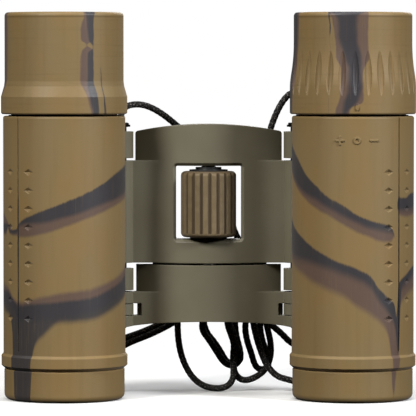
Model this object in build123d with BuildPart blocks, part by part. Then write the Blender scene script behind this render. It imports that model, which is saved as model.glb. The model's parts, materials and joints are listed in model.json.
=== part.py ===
"""Compact double-hinge folding binoculars, standing on their objective rims.

Millimetres. +Z runs along the optical axes from the objectives to the eyepieces, +X runs
from the plain eyepiece to the dioptre eyepiece, and +Y is the side that faces up in use.
Every piece is drawn unfolded, with the focus yoke at the top of its travel.
"""
import os
from math import atan2, cos, degrees, hypot, pi, radians, sin, tan

from build123d import *

os.makedirs("parts", exist_ok=True)

# ---- driving dimensions -------------------------------------------------------------------
BARREL_X = 35.35            # optical axis to the middle of the bridge, unfolded
HINGE_X, HINGE_Y = 21.5, 10.0
KNUCKLE_R = 2.9             # every hinge knuckle, lug and tongue
PIN_R = 1.2                 # main hinge pins
RUNNING = 0.03              # radial clearance of a turning fit
FACE_GAP = 0.15             # gap between faces that slide past each other

TUBE_R, TUBE_BORE_R = 13.6, 12.2
TUBE_LOW, TUBE_SHOULDER, TUBE_HIGH = 4.4, 69.6, 73.3
TUBE_NECK_R = 13.0          # turned-down top that carries the eyepiece collar

ARMOUR_R = 14.95
ARMOUR_LOW, ARMOUR_HIGH = 7.75, 69.4
BAND_R, BAND_HIGH = 15.45, 11.3
RELIEF_R = KNUCKLE_R + 0.35  # scallop in the armour round the hinge
SEAM_ANGLE = 46.2           # moulded seam, measured outwards from -Y
SEAM_WIDTH, SEAM_DEPTH = 0.28, 0.25
DIMPLE_ANGLES = (33.4, 59.2)
DIMPLE_COUNT, DIMPLE_PITCH, DIMPLE_HIGH = 9, 4.44, 55.9
DIMPLE_WIDE, DIMPLE_TALL, DIMPLE_DEEP = 3.1, 1.6, 0.6
INDEX_ANGLE, MARK_STEP, MARK_Z = 1.75, 16.0, 63.6
MARK_PROUD, MARK_LINE, MARK_SPAN, ZERO_R = 0.2, 0.45, 2.2, 0.65

RING_R, RING_HIGH, RING_BORE_R = 14.75, 7.65, 11.6

LUG_SPANS = ((26.1, 31.5), (58.8, 65.4))
TONGUE_LOW, TONGUE_HIGH = 19.95, 22.65
ARM_WIDTH = 4.0
FOCUS_TRAVEL = 3.2

CELL_R, CELL_LOW, CELL_HIGH = TUBE_BORE_R - 0.05, 8.3, 25.0
LENS_R, LENS_SEAT, LENS_JOIN = 11.2, 14.2, 11.8
LENS_RING_SPAN, CROWN_LOW = (8.6, 9.8), 10.0
BAFFLE_R, BAFFLE_SPAN = 9.2, (27.5, 32.5)

CAGE_R, CAGE_LOW, CAGE_HIGH = 12.1, 33.5, 59.5
CAGE_OPENING_R, CAGE_FLOOR, CAGE_POCKET = 6.8, 1.5, (14.6, 13.6)
CLIP_R, CLIP_THICK = 11.6, 0.8
PRISM_THICK, ROOF_EDGE = 13.0, 0.5
EYEPIECE_LOW, EYEPIECE_HIGH, EYEPIECE_BORE_R, FIELD_STOP_R = 61.6, 86.5, 9.0, 7.5
FIELD_LENS_SPAN, SPACER_SPAN = (63.6, 66.0), (66.35, 74.3)
EYE_LENS_SPAN, EYE_RING_SPAN = (74.6, 78.2), (78.35, 81.2)
COLLAR_R, COLLAR_LOW, COLLAR_STEP, COLLAR_HIGH, COLLAR_LIP_R = 13.9, 70.0, 80.6, 86.7, 12.5
CUP_LOW, CUP_HIGH, CUP_TOP_R, CUP_WAIST_R = 69.85, 94.7, 14.5, 14.55
RIB_COUNT, RIB_LOW, RIB_HIGH = 30, 73.3, 87.3
RIB_GROOVE_R, RIB_GROOVE_OUT = 0.98, 0.38
CUP_STEP, CUP_FLARE, CUP_STRAIGHT, TAPER_LOW, TAPER_HIGH = 74.1, 76.7, 77.9, 76.2, 87.5
TAPER_MID = (14.95, 80.8)
CUP_ROUND, CUP_MOUTH_R = 0.9, 12.4
INDEX_DOT_Z = 71.7

BRIDGE_ARC_R, BRIDGE_FRONT, BRIDGE_BACK = 25.5, 5.0, 13.4
BRIDGE_LOW, BRIDGE_HIGH, BRIDGE_HALF = 32.9, 67.3, 18.2
WING_FRONT, WING_BACK, WING_HIGH = 9.1, 12.9, 58.2
WING_ROOT, WING_BEND = 11.2, 16.2   # the front curves out of the arch between these
BRIDGE_TOP_DROP = 1.9       # the arched top edge is this much lower at its ends
BRIDGE_CORNER_R, CLEAR = 0.8, 30.0          # clear: reaches past the bridge on every side
WINDOW_HALF, WINDOW_LOW, WINDOW_HIGH, WINDOW_BEVEL = 8.07, 38.8, 56.95, 0.7
COVER_BACK, COVER_EDGE, COVER_INSET = 15.74, 14.2, 0.2
COVER_SPAN, COVER_TOP, COVER_DROP = 20.0, BRIDGE_HIGH - 0.3, 2.17    # its arched top edge
SKIRT_HALF, SKIRT_LOW, SKIRT_BACK = 13.9, 31.0, 15.0   # lip of the cover behind the yoke

WHEEL_Y, WHEEL_R, WHEEL_LOW, WHEEL_HIGH = 8.7, 6.84, 39.3, 55.6
WHEEL_FOOT, WHEEL_ROUND, WHEEL_BORE_R = 0.9, 1.1, 4.6    # foot: plain band below the grooves
WHEEL_GROOVES, GROOVE_PHASE, WHEEL_GROOVE_R = 20, 2.5, 0.5
HUB_FLANGE_R, HUB_NECK_R, HUB_TOP_R, HUB_STEP = 4.75, 3.2, 1.8, 0.4
UPPER_BUSH_R, LOWER_BUSH_R, UPPER_BUSH_DEEP = 2.7, 3.2, 5.0
SPINDLE_R, JOURNAL_R, SPINDLE_LOW = 2.0, 1.5, 22.2
NUT_R, NUT_LOW, NUT_HIGH = 3.1, 24.2, 31.6
YOKE_LOW, YOKE_HIGH, YOKE_HALF, YOKE_SHOULDER = 18.45, 32.4, 18.0, 25.7
YOKE_BOTTOM_DROP = 2.1
YOKE_SLOT = (TONGUE_LOW - FACE_GAP, TONGUE_HIGH + FACE_GAP)
YOKE_SLOT_X = {"left": 17.75, "right": 18.5}
YOKE_POCKET_WIDE, YOKE_POCKET_BACK = 1.15, 12.4
YOKE_PIN_R = 1.1

CORD_R, BEND_SHARE = 0.825, 0.45
HANK_MID, LOBE_OFFSET, LOBE_R = 41.0, 8.25, 6.1      # a waisted hank with two round lobes
SHOULDER_X, SHOULDER_Z = 5.37, 5.61         # where the waist meets the lobes
HANK_FRONT, HANK_BACK, WAIST_HALF = 16.6, 25.9, 1.8
TIE_HEIGHT, TIE_WRAP, TIE_CORNER = 2.8, 0.6, 0.9
LOOPS_HIGH, LOOPS_BACK = 26.6, 25.2
LOOPS_OUTLINE = ((-9, LOOPS_HIGH), (15, LOOPS_HIGH), (17.5, 18.5), (30.4, 9), (30.4, 2.5),
                 (28, 0), (-31, 0), (-33, 2), (-33, 7), (-28, 13), (-12, 19.5))

# ---- derived ------------------------------------------------------------------------------
HANK_HIGH = HANK_MID + LOBE_OFFSET + LOBE_R
HINGE_SPAN = hypot(BARREL_X - HINGE_X, HINGE_Y)     # barrel axis to hinge axis
SIDES = (("left", -1), ("right", 1))


def save(piece, name):
    """Labels a finished piece and writes it to its own file."""
    piece.part.label = name
    export_step(piece.part, f"parts/{name}.step")


def barrel_plane(side):
    """A vertical plane through a barrel's axis: x is the radius and y is the height."""
    return Plane(origin=(side * BARREL_X, 0, 0), x_dir=(1, 0, 0), z_dir=(0, -1, 0))


def barrel_axis(side):
    return Axis((side * BARREL_X, 0, 0), (0, 0, 1))


def turned(name, side, outline):
    """A lathe-turned piece on a barrel's axis, from its closed (radius, height) outline."""
    with BuildPart() as piece:
        with BuildSketch(barrel_plane(side)):
            with BuildLine():
                Polyline(*outline, close=True)
            make_face()
        revolve(axis=barrel_axis(side))
    save(piece, name)


def skin_plane(side, angle, radius, z, tilt=0.0):
    """A plane on a barrel's skin. Angle runs outwards from -Y, and tilt leans it upwards."""
    turn = radians(angle)
    out = Vector(side * sin(turn), -cos(turn), 0)
    along = Vector(cos(turn), side * sin(turn), 0)
    lean = radians(tilt)
    normal = out * cos(lean) + Vector(0, 0, 1) * sin(lean)
    centre = Vector(side * BARREL_X, 0, z) + out * radius
    return Plane(origin=centre, x_dir=along, z_dir=normal)


def link_sketch(side, width, reach, end_r):
    """The plan of an arm from a barrel's axis to its hinge axis, with a round end there."""
    angle = degrees(atan2(HINGE_Y, side * (HINGE_X - BARREL_X)))
    with Locations(Location((side * BARREL_X, 0), angle)):
        with Locations(((HINGE_SPAN + reach) / 2, 0)):
            Rectangle(HINGE_SPAN - reach, width)
    with Locations((side * HINGE_X, HINGE_Y)):
        Circle(end_r)


# ---- barrels ------------------------------------------------------------------------------
def make_barrel_tube(name, side):
    """Glass-filled tube with two hinge lugs and the slot that the focusing arm works in."""
    with BuildPart() as tube:
        with BuildSketch(barrel_plane(side)):
            with BuildLine():
                Polyline((TUBE_BORE_R, TUBE_LOW), (TUBE_R, TUBE_LOW), (TUBE_R, TUBE_SHOULDER),
                         (TUBE_NECK_R, TUBE_SHOULDER), (TUBE_NECK_R, TUBE_HIGH),
                         (TUBE_BORE_R, TUBE_HIGH), close=True)
            make_face()
        revolve(axis=barrel_axis(side))
        for low, high in LUG_SPANS:
            with BuildSketch(Plane.XY.offset(low)):
                link_sketch(side, 2 * KNUCKLE_R, TUBE_BORE_R + 0.6, KNUCKLE_R)
                with Locations((side * BARREL_X, 0)):
                    Circle(TUBE_BORE_R, mode=Mode.SUBTRACT)
            extrude(amount=high - low)
            with BuildSketch(Plane.XY.offset(low)):
                with Locations((side * HINGE_X, HINGE_Y)):
                    Circle(PIN_R + RUNNING)
            extrude(amount=high - low, mode=Mode.SUBTRACT)
        with BuildSketch(Plane.XY.offset(TONGUE_LOW - FOCUS_TRAVEL - 0.4)):
            link_sketch(side, ARM_WIDTH + 0.6, TUBE_BORE_R - 1.0, 0.5)
        extrude(amount=TONGUE_HIGH - TONGUE_LOW + FOCUS_TRAVEL + 0.8, mode=Mode.SUBTRACT)
    save(tube, name)


def cut_dimples(side):
    """Two rows of thumbnail dimples beside the seam: pointed, four-sided and widest across."""
    reach_out = 0.1
    for angle in DIMPLE_ANGLES:
        for row in range(DIMPLE_COUNT):
            z = DIMPLE_HIGH - row * DIMPLE_PITCH
            with BuildPart(mode=Mode.PRIVATE) as point:
                for radius, share in ((ARMOUR_R + reach_out, 1 + reach_out / DIMPLE_DEEP),
                                      (ARMOUR_R - DIMPLE_DEEP, 0.04)):
                    wide, tall = share * DIMPLE_WIDE / 2, share * DIMPLE_TALL / 2
                    with BuildSketch(skin_plane(side, angle, radius, z)):
                        Polygon((-wide, 0), (0, -tall), (wide, 0), (0, tall), align=None)
                loft()
            add(point.part, mode=Mode.SUBTRACT)


def add_marks(side):
    """Raised plus, zero and minus marks for the dioptre setting."""
    root, proud = ARMOUR_R - 0.6, 0.6 + MARK_PROUD
    with BuildSketch(skin_plane(side, INDEX_ANGLE - MARK_STEP, root, MARK_Z)) as plus:
        Rectangle(MARK_SPAN, MARK_LINE)
        Rectangle(MARK_LINE, MARK_SPAN)
    extrude(plus.sketch, amount=proud)
    with BuildSketch(skin_plane(side, INDEX_ANGLE, root, MARK_Z)) as zero:
        Circle(ZERO_R + MARK_LINE / 2)
        Circle(ZERO_R - MARK_LINE / 2, mode=Mode.SUBTRACT)
    extrude(zero.sketch, amount=proud)
    with BuildSketch(skin_plane(side, INDEX_ANGLE + MARK_STEP, root, MARK_Z)) as minus:
        Rectangle(MARK_SPAN, MARK_LINE)
    extrude(minus.sketch, amount=proud)


def make_armour(name, side, marks):
    """Rubber sleeve with its lower band, seam, dimples and the scallop round the hinge."""
    with BuildPart() as armour:
        with BuildSketch(barrel_plane(side)):
            with BuildLine():
                Polyline((TUBE_R, ARMOUR_LOW), (ARMOUR_R - 0.25, ARMOUR_LOW),
                         (BAND_R, ARMOUR_LOW + 0.65), (BAND_R, BAND_HIGH - 0.5),
                         (ARMOUR_R, BAND_HIGH + 0.1), (ARMOUR_R, ARMOUR_HIGH - 0.45),
                         (ARMOUR_R - 0.15, ARMOUR_HIGH - 0.13), (ARMOUR_R - 0.45, ARMOUR_HIGH),
                         (TUBE_R, ARMOUR_HIGH), close=True)
            make_face()
        revolve(axis=barrel_axis(side))
        with BuildSketch(Plane.XY.offset(BAND_HIGH + 1.2)):
            with Locations((side * HINGE_X, HINGE_Y)):
                Circle(RELIEF_R)
        extrude(amount=ARMOUR_HIGH, mode=Mode.SUBTRACT)
        spans = LUG_SPANS + ((TONGUE_LOW - FOCUS_TRAVEL - 0.4, TONGUE_HIGH + 0.4),)
        for low, high in spans:
            with BuildSketch(Plane.XY.offset(low - 0.05)):
                link_sketch(side, 2 * KNUCKLE_R + 0.1, TUBE_BORE_R, RELIEF_R)
            extrude(amount=high - low + 0.1, mode=Mode.SUBTRACT)
        with BuildSketch(skin_plane(side, SEAM_ANGLE, ARMOUR_R - SEAM_DEPTH, 0)):
            with Locations((0, (BAND_HIGH + ARMOUR_HIGH) / 2 + 1)):
                Rectangle(SEAM_WIDTH, ARMOUR_HIGH - BAND_HIGH)
        extrude(amount=1, mode=Mode.SUBTRACT)
        cut_dimples(side)
        if marks:
            add_marks(side)
    save(armour, name)


def make_objective_ring(name, side):
    """Rubber-covered end ring: it screws onto the tube and its rim is what stands on a table."""
    with BuildPart() as ring:
        with BuildSketch(barrel_plane(side)):
            with BuildLine():
                Polyline((RING_BORE_R + 0.6, 0), (RING_R - 1.5, 0))
                RadiusArc((RING_R - 1.5, 0), (RING_R, 1.5), -1.5)
                Polyline((RING_R, 1.5), (RING_R, RING_HIGH - 0.3), (RING_R - 0.3, RING_HIGH),
                         (TUBE_R, RING_HIGH), (TUBE_R, TUBE_LOW), (RING_BORE_R, TUBE_LOW),
                         (RING_BORE_R, 0.6), (RING_BORE_R + 0.6, 0))
            make_face()
        revolve(axis=barrel_axis(side))
    save(ring, name)


def make_lens_cell(name, side):
    """Sliding objective cell with the arm and tongue that the focus yoke carries."""
    with BuildPart() as cell:
        with BuildSketch(barrel_plane(side)):
            with BuildLine():
                Polyline((LENS_R, CELL_LOW), (CELL_R, CELL_LOW), (CELL_R, CELL_HIGH),
                         (LENS_R - 0.8, CELL_HIGH), (LENS_R - 0.8, LENS_SEAT),
                         (LENS_R, LENS_SEAT), close=True)
            make_face()
        revolve(axis=barrel_axis(side))
        with BuildSketch(Plane.XY.offset(TONGUE_LOW)):
            link_sketch(side, ARM_WIDTH, CELL_R - 0.8, KNUCKLE_R)
            with Locations((side * HINGE_X, HINGE_Y)):
                Circle(YOKE_PIN_R + RUNNING, mode=Mode.SUBTRACT)
        extrude(amount=TONGUE_HIGH - TONGUE_LOW)
    save(cell, name)


def dome(radius, edge_z, bulge):
    """Half of a lens face from its edge to its middle: a sphere's arc, centred on the axis."""
    sphere = (radius ** 2 + bulge ** 2) / (2 * abs(bulge))
    rise = abs(bulge) - sphere + (sphere ** 2 - radius ** 2 / 4) ** 0.5
    middle = edge_z + (rise if bulge > 0 else -rise)
    return (radius, edge_z), (radius / 2, middle), (0, edge_z + bulge)


def make_lens(name, side, radius, low, high, bulge_low, bulge_high):
    """A round lens between two spherical faces. A positive bulge swells out of the edge."""
    with BuildPart() as lens:
        with BuildSketch(barrel_plane(side)):
            with BuildLine():
                ThreePointArc(*reversed(dome(radius, low, -bulge_low)))
                Line((radius, low), (radius, high))
                ThreePointArc(*dome(radius, high, bulge_high))
                Line((0, high + bulge_high), (0, low - bulge_low))
            make_face()
        revolve(axis=barrel_axis(side))
    save(lens, name)


def make_plain_ring(name, side, outer, inner, low, high):
    turned(name, side, [(inner, low), (outer, low), (outer, high), (inner, high)])


def make_prism_cage(name, side):
    """Moulded cage that holds the two prisms of the erecting system."""
    with BuildPart() as cage:
        with BuildSketch(Plane.XY.offset(CAGE_LOW)):
            with Locations((side * BARREL_X, 0)):
                Circle(CAGE_R)
        extrude(amount=CAGE_HIGH - CAGE_LOW)
        with BuildSketch(Plane.XY.offset(CAGE_LOW)):
            with Locations((side * BARREL_X, 0)):
                Circle(CAGE_OPENING_R)
        extrude(amount=CAGE_FLOOR, mode=Mode.SUBTRACT)
        with BuildSketch(Plane.XY.offset(CAGE_LOW + CAGE_FLOOR)):
            with Locations((side * BARREL_X, 0)):
                Rectangle(*CAGE_POCKET)
        extrude(amount=CAGE_HIGH - CAGE_LOW, mode=Mode.SUBTRACT)
    save(cage, name)


PRISM_HALF, PRISM_LOW, PRISM_HIGH = 7.0, CAGE_LOW + CAGE_FLOOR + 0.1, CAGE_HIGH - 0.4
PRISM_FLOOR, AIR_GAP = PRISM_LOW + 2.0, 0.4


def make_half_penta_prism(name, side):
    """Lower prism: light enters its flat base and leaves through the 45 degree face."""
    with BuildPart() as prism:
        with BuildSketch(barrel_plane(side)):
            with BuildLine():
                Polyline((-PRISM_HALF, PRISM_LOW), (PRISM_HALF, PRISM_LOW),
                         (PRISM_HALF, PRISM_FLOOR), (-PRISM_HALF, PRISM_FLOOR + 2 * PRISM_HALF),
                         close=True)
            make_face()
        extrude(amount=PRISM_THICK / 2, both=True)
    save(prism, name)


def make_roof_prism(name, side):
    """Upper prism with the 90 degree roof that turns the image the right way round."""
    low = PRISM_FLOOR + AIR_GAP
    with BuildPart() as prism:
        with BuildSketch(barrel_plane(side)):
            with BuildLine():
                Polyline((PRISM_HALF, low), (PRISM_HALF, PRISM_HIGH), (-5.0, PRISM_HIGH),
                         (-PRISM_HALF, low + 2 * PRISM_HALF), close=True)
            make_face()
        extrude(amount=PRISM_THICK / 2, both=True)
        with BuildSketch(Plane.XY.offset(low)):
            with Locations((side * BARREL_X, 0)):
                Polygon((-PRISM_HALF, -PRISM_THICK / 2), (ROOF_EDGE, -PRISM_THICK / 2),
                        (PRISM_HALF, 0), (ROOF_EDGE, PRISM_THICK / 2),
                        (-PRISM_HALF, PRISM_THICK / 2), align=None)
        extrude(amount=PRISM_HIGH - low, mode=Mode.INTERSECT)
    save(prism, name)


def make_prism_clip(name, side):
    """Spring plate that closes the cage over the prisms."""
    with BuildPart() as clip:
        with BuildSketch(Plane.XY.offset(CAGE_HIGH)):
            with Locations((side * BARREL_X, 0)):
                Circle(CLIP_R)
                Circle(CAGE_OPENING_R, mode=Mode.SUBTRACT)
        extrude(amount=CLIP_THICK)
    save(clip, name)


def make_eyepiece_tube(name, side):
    """Black tube that holds the eyepiece lenses, with the field stop in its lower lip."""
    top = EYEPIECE_HIGH
    turned(name, side, [
        (FIELD_STOP_R, EYEPIECE_LOW), (TUBE_BORE_R - 0.05, EYEPIECE_LOW), (TUBE_BORE_R - 0.05, top),
        (EYEPIECE_BORE_R + 1.4, top), (EYEPIECE_BORE_R, top - 2.5),
        (EYEPIECE_BORE_R, EYEPIECE_LOW + 2), (FIELD_STOP_R, EYEPIECE_LOW + 2)])


def make_collar(name, side, clearance):
    """Hard ring inside the rubber: it carries the eyecup on the neck of the barrel tube."""
    neck = TUBE_NECK_R + clearance
    turned(name, side, [
        (neck, COLLAR_LOW), (COLLAR_R, COLLAR_LOW), (COLLAR_R, COLLAR_STEP),
        (TUBE_NECK_R, COLLAR_STEP), (TUBE_NECK_R, COLLAR_HIGH), (COLLAR_LIP_R, COLLAR_HIGH),
        (COLLAR_LIP_R, TUBE_HIGH + 0.3), (neck, TUBE_HIGH + 0.3)])


def cup_inside():
    """The inner half of both eyecups' outlines, from the rim down to the foot."""
    return [(CUP_MOUTH_R + 0.5, CUP_HIGH), (CUP_MOUTH_R, CUP_HIGH - 0.5),
            (CUP_MOUTH_R, CUP_HIGH - 1.1),
            (TUBE_NECK_R, CUP_HIGH - 1.6), (TUBE_NECK_R, COLLAR_STEP),
            (COLLAR_R, COLLAR_STEP), (COLLAR_R, CUP_LOW)]


def make_plain_eyecup(name, side):
    """Fold-down rubber eyecup: a straight sleeve that flares out to a collar at its foot."""
    with BuildPart() as cup:
        with BuildSketch(barrel_plane(side)):
            with BuildLine():
                Polyline((BAND_R - 0.3, CUP_LOW), (BAND_R, CUP_LOW + 0.3), (BAND_R, CUP_STEP))
                Line((BAND_R, CUP_STEP), (CUP_WAIST_R + 0.15, CUP_FLARE))
                Line((CUP_WAIST_R + 0.15, CUP_FLARE), (CUP_WAIST_R, CUP_STRAIGHT))
                Line((CUP_WAIST_R, CUP_STRAIGHT), (CUP_WAIST_R, CUP_HIGH - CUP_ROUND))
                RadiusArc((CUP_WAIST_R, CUP_HIGH - CUP_ROUND), (CUP_WAIST_R - CUP_ROUND, CUP_HIGH),
                          -CUP_ROUND)
                Polyline((CUP_WAIST_R - CUP_ROUND, CUP_HIGH), *cup_inside(),
                         (BAND_R - 0.3, CUP_LOW))
            make_face()
        revolve(axis=barrel_axis(side))
    save(cup, name)


def make_ribbed_eyecup(name, side):
    """Rubber eyecup and dioptre grip in one, with lens-shaped grooves round its flare."""
    groove_span = RIB_HIGH - RIB_LOW
    with BuildPart() as cup:
        with BuildSketch(barrel_plane(side)):
            with BuildLine():
                Polyline((BAND_R - 0.3, CUP_LOW), (BAND_R, CUP_LOW + 0.3), (BAND_R, TAPER_LOW))
                Spline((BAND_R, TAPER_LOW), TAPER_MID, (CUP_TOP_R, TAPER_HIGH),
                       tangents=((0, 1), (0, 1)))
                Line((CUP_TOP_R, TAPER_HIGH), (CUP_TOP_R, CUP_HIGH - CUP_ROUND))
                RadiusArc((CUP_TOP_R, CUP_HIGH - CUP_ROUND), (CUP_TOP_R - CUP_ROUND, CUP_HIGH),
                          -CUP_ROUND)
                Polyline((CUP_TOP_R - CUP_ROUND, CUP_HIGH), *cup_inside(),
                         (BAND_R - 0.3, CUP_LOW))
            make_face()
        revolve(axis=barrel_axis(side))
        for step in range(RIB_COUNT):
            turn = 360.0 / RIB_COUNT * step
            foot = skin_plane(side, turn, BAND_R + RIB_GROOVE_OUT, RIB_LOW).origin
            head = skin_plane(side, turn, CUP_TOP_R + RIB_GROOVE_OUT, RIB_HIGH).origin
            along = (head - foot).normalized()
            outward = skin_plane(side, turn, 1, RIB_LOW).z_dir
            with BuildSketch(Plane(origin=foot, x_dir=along, z_dir=along.cross(outward))):
                with BuildLine():
                    ThreePointArc((0, 0), (groove_span / 2, RIB_GROOVE_R), (groove_span, 0))
                    Line((groove_span, 0), (0, 0))
                make_face()
            revolve(axis=Axis(foot, along), mode=Mode.SUBTRACT)
        with BuildSketch(skin_plane(side, INDEX_ANGLE, BAND_R - 0.5, INDEX_DOT_Z)):
            Ellipse(0.45, 0.85)
        extrude(amount=0.8)
    save(cup, name)


for side_name, side in SIDES:
    make_barrel_tube(f"{side_name}_barrel_tube", side)
    make_armour(f"{side_name}_armour", side, marks=side > 0)
    make_objective_ring(f"{side_name}_objective_ring", side)
    make_lens_cell(f"{side_name}_lens_cell", side)
    make_plain_ring(f"{side_name}_objective_lens_ring", side, LENS_R, LENS_R - 0.8, *LENS_RING_SPAN)
    make_lens(f"{side_name}_objective_crown", side, LENS_R, CROWN_LOW, LENS_JOIN, 1.0, 1.4)
    make_lens(f"{side_name}_objective_flint", side, LENS_R, LENS_JOIN, LENS_SEAT, -1.4, -0.4)
    make_plain_ring(f"{side_name}_light_baffle", side, TUBE_BORE_R, BAFFLE_R, *BAFFLE_SPAN)
    make_prism_cage(f"{side_name}_prism_cage", side)
    make_half_penta_prism(f"{side_name}_half_penta_prism", side)
    make_roof_prism(f"{side_name}_roof_prism", side)
    make_prism_clip(f"{side_name}_prism_clip", side)
    make_eyepiece_tube(f"{side_name}_eyepiece_tube", side)
    make_lens(f"{side_name}_field_lens", side, EYEPIECE_BORE_R, *FIELD_LENS_SPAN, -0.2, 1.6)
    make_plain_ring(f"{side_name}_lens_spacer", side, EYEPIECE_BORE_R, FIELD_STOP_R + 0.6, *SPACER_SPAN)
    make_lens(f"{side_name}_eye_lens", side, EYEPIECE_BORE_R, *EYE_LENS_SPAN, 1.4, 0.6)
    make_plain_ring(f"{side_name}_eye_lens_ring", side, EYEPIECE_BORE_R, FIELD_STOP_R + 0.5, *EYE_RING_SPAN)

make_collar("left_eyepiece_collar", -1, 0.0)
make_collar("diopter_ring", 1, 0.05)
make_plain_eyecup("left_eyecup", -1)
make_ribbed_eyecup("right_eyecup", 1)


# ---- bridge -------------------------------------------------------------------------------
def arch_front(x):
    """How far back the bowed front is at a distance from the middle."""
    return BRIDGE_FRONT + BRIDGE_ARC_R - (BRIDGE_ARC_R ** 2 - x ** 2) ** 0.5


def arched_plan(half, back):
    """The plan of the bridge and the yoke: bowed towards -Y, flat behind."""
    low = arch_front(half)
    with BuildLine() as outline:
        ThreePointArc((-half, low), (0, BRIDGE_FRONT), (half, low))
        Polyline((half, low), (half, back), (-half, back), (-half, low))
    make_face(outline.edges())


def wing_blocks(low, high):
    """Wings from the arched middle out to the hinge knuckles, curving out of the arch."""
    slope = WING_ROOT / (BRIDGE_ARC_R ** 2 - WING_ROOT ** 2) ** 0.5
    for side in (-1, 1):
        root, bend = side * WING_ROOT, side * WING_BEND
        with BuildSketch(Plane.XY.offset(low)) as wing:
            with BuildLine() as outline:
                Spline((root, arch_front(WING_ROOT)), (bend, WING_FRONT),
                       tangents=((side, slope), (side, 0)))
                Polyline((bend, WING_FRONT), (side * HINGE_X, WING_FRONT),
                         (side * HINGE_X, WING_BACK), (root, WING_BACK),
                         (root, arch_front(WING_ROOT)))
            make_face(outline.edges())
            with Locations((side * HINGE_X, HINGE_Y)):
                Circle(KNUCKLE_R)
        extrude(wing.sketch, amount=high - low)


def pin_holes(radius, low, high):
    with BuildSketch(Plane.XY.offset(low)) as holes:
        with Locations((-HINGE_X, HINGE_Y), (HINGE_X, HINGE_Y)):
            Circle(radius)
    extrude(holes.sketch, amount=high - low, mode=Mode.SUBTRACT)


def spindle_hole(radius, low, high):
    with BuildSketch(Plane.XY.offset(low)) as hole:
        with Locations((0, WHEEL_Y)):
            Circle(radius)
    extrude(hole.sketch, amount=high - low, mode=Mode.SUBTRACT)


def trim_top(half):
    """Keeps what is under the arched top edge of the bridge."""
    with BuildSketch(Plane.XZ.offset(-CLEAR)) as front:
        with BuildLine():
            ThreePointArc((-half, BRIDGE_HIGH - BRIDGE_TOP_DROP), (0, BRIDGE_HIGH),
                          (half, BRIDGE_HIGH - BRIDGE_TOP_DROP))
            Polyline((half, BRIDGE_HIGH - BRIDGE_TOP_DROP), (half, WING_HIGH),
                     (CLEAR, WING_HIGH), (CLEAR, 0), (-CLEAR, 0), (-CLEAR, WING_HIGH),
                     (-half, WING_HIGH), (-half, BRIDGE_HIGH - BRIDGE_TOP_DROP))
        make_face()
        fillet(front.vertices().group_by(Axis.Y)[-1], BRIDGE_CORNER_R)
    extrude(front.sketch, amount=2 * CLEAR, mode=Mode.INTERSECT)


def on_window_front(edge):
    """Whether an edge borders the window's opening in the bowed front of the bridge."""
    middle = edge.center()
    inside = abs(middle.X) < WINDOW_HALF + 0.1 and middle.Y < BRIDGE_FRONT + 2
    return inside and WINDOW_LOW - 0.1 < middle.Z < WINDOW_HIGH + 0.1


SCREW_SPOTS = ((-12.6, 36.0), (12.6, 36.0), (-12.6, 61.8), (12.6, 61.8))
SCREW_R, SCREW_HEAD_R, SCREW_HEAD, SCREW_SEAT, SCREW_TIP = 0.75, 1.35, 0.7, 13.9, 9.6
RECESS_LONG, RECESS_WIDE, RECESS_DEEP = 1.5, 0.35, 0.4

with BuildPart() as bridge_frame:
    with BuildSketch(Plane.XY.offset(BRIDGE_LOW)):
        arched_plan(BRIDGE_HALF, BRIDGE_BACK)
    extrude(amount=BRIDGE_HIGH - BRIDGE_LOW)
    wing_blocks(BRIDGE_LOW, WING_HIGH)
    trim_top(BRIDGE_HALF)
    with BuildSketch(Plane.XZ.offset(-CLEAR)):
        with Locations((0, (WINDOW_LOW + WINDOW_HIGH) / 2)):
            RectangleRounded(2 * WINDOW_HALF, WINDOW_HIGH - WINDOW_LOW, 0.4)
    extrude(amount=2 * CLEAR, mode=Mode.SUBTRACT)
    window_edges = bridge_frame.edges().filter_by(on_window_front)
    chamfer(window_edges, WINDOW_BEVEL)
    pin_holes(PIN_R, BRIDGE_LOW, WING_HIGH)
    spindle_hole(LOWER_BUSH_R, BRIDGE_LOW, WINDOW_LOW)
    spindle_hole(UPPER_BUSH_R, WINDOW_HIGH, WINDOW_HIGH + UPPER_BUSH_DEEP)
    with BuildSketch(Plane.XZ.offset(-BRIDGE_BACK)):
        with Locations(*SCREW_SPOTS):
            Circle(SCREW_R)
    extrude(amount=BRIDGE_BACK - SCREW_TIP, mode=Mode.SUBTRACT)
save(bridge_frame, "bridge_frame")

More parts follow.
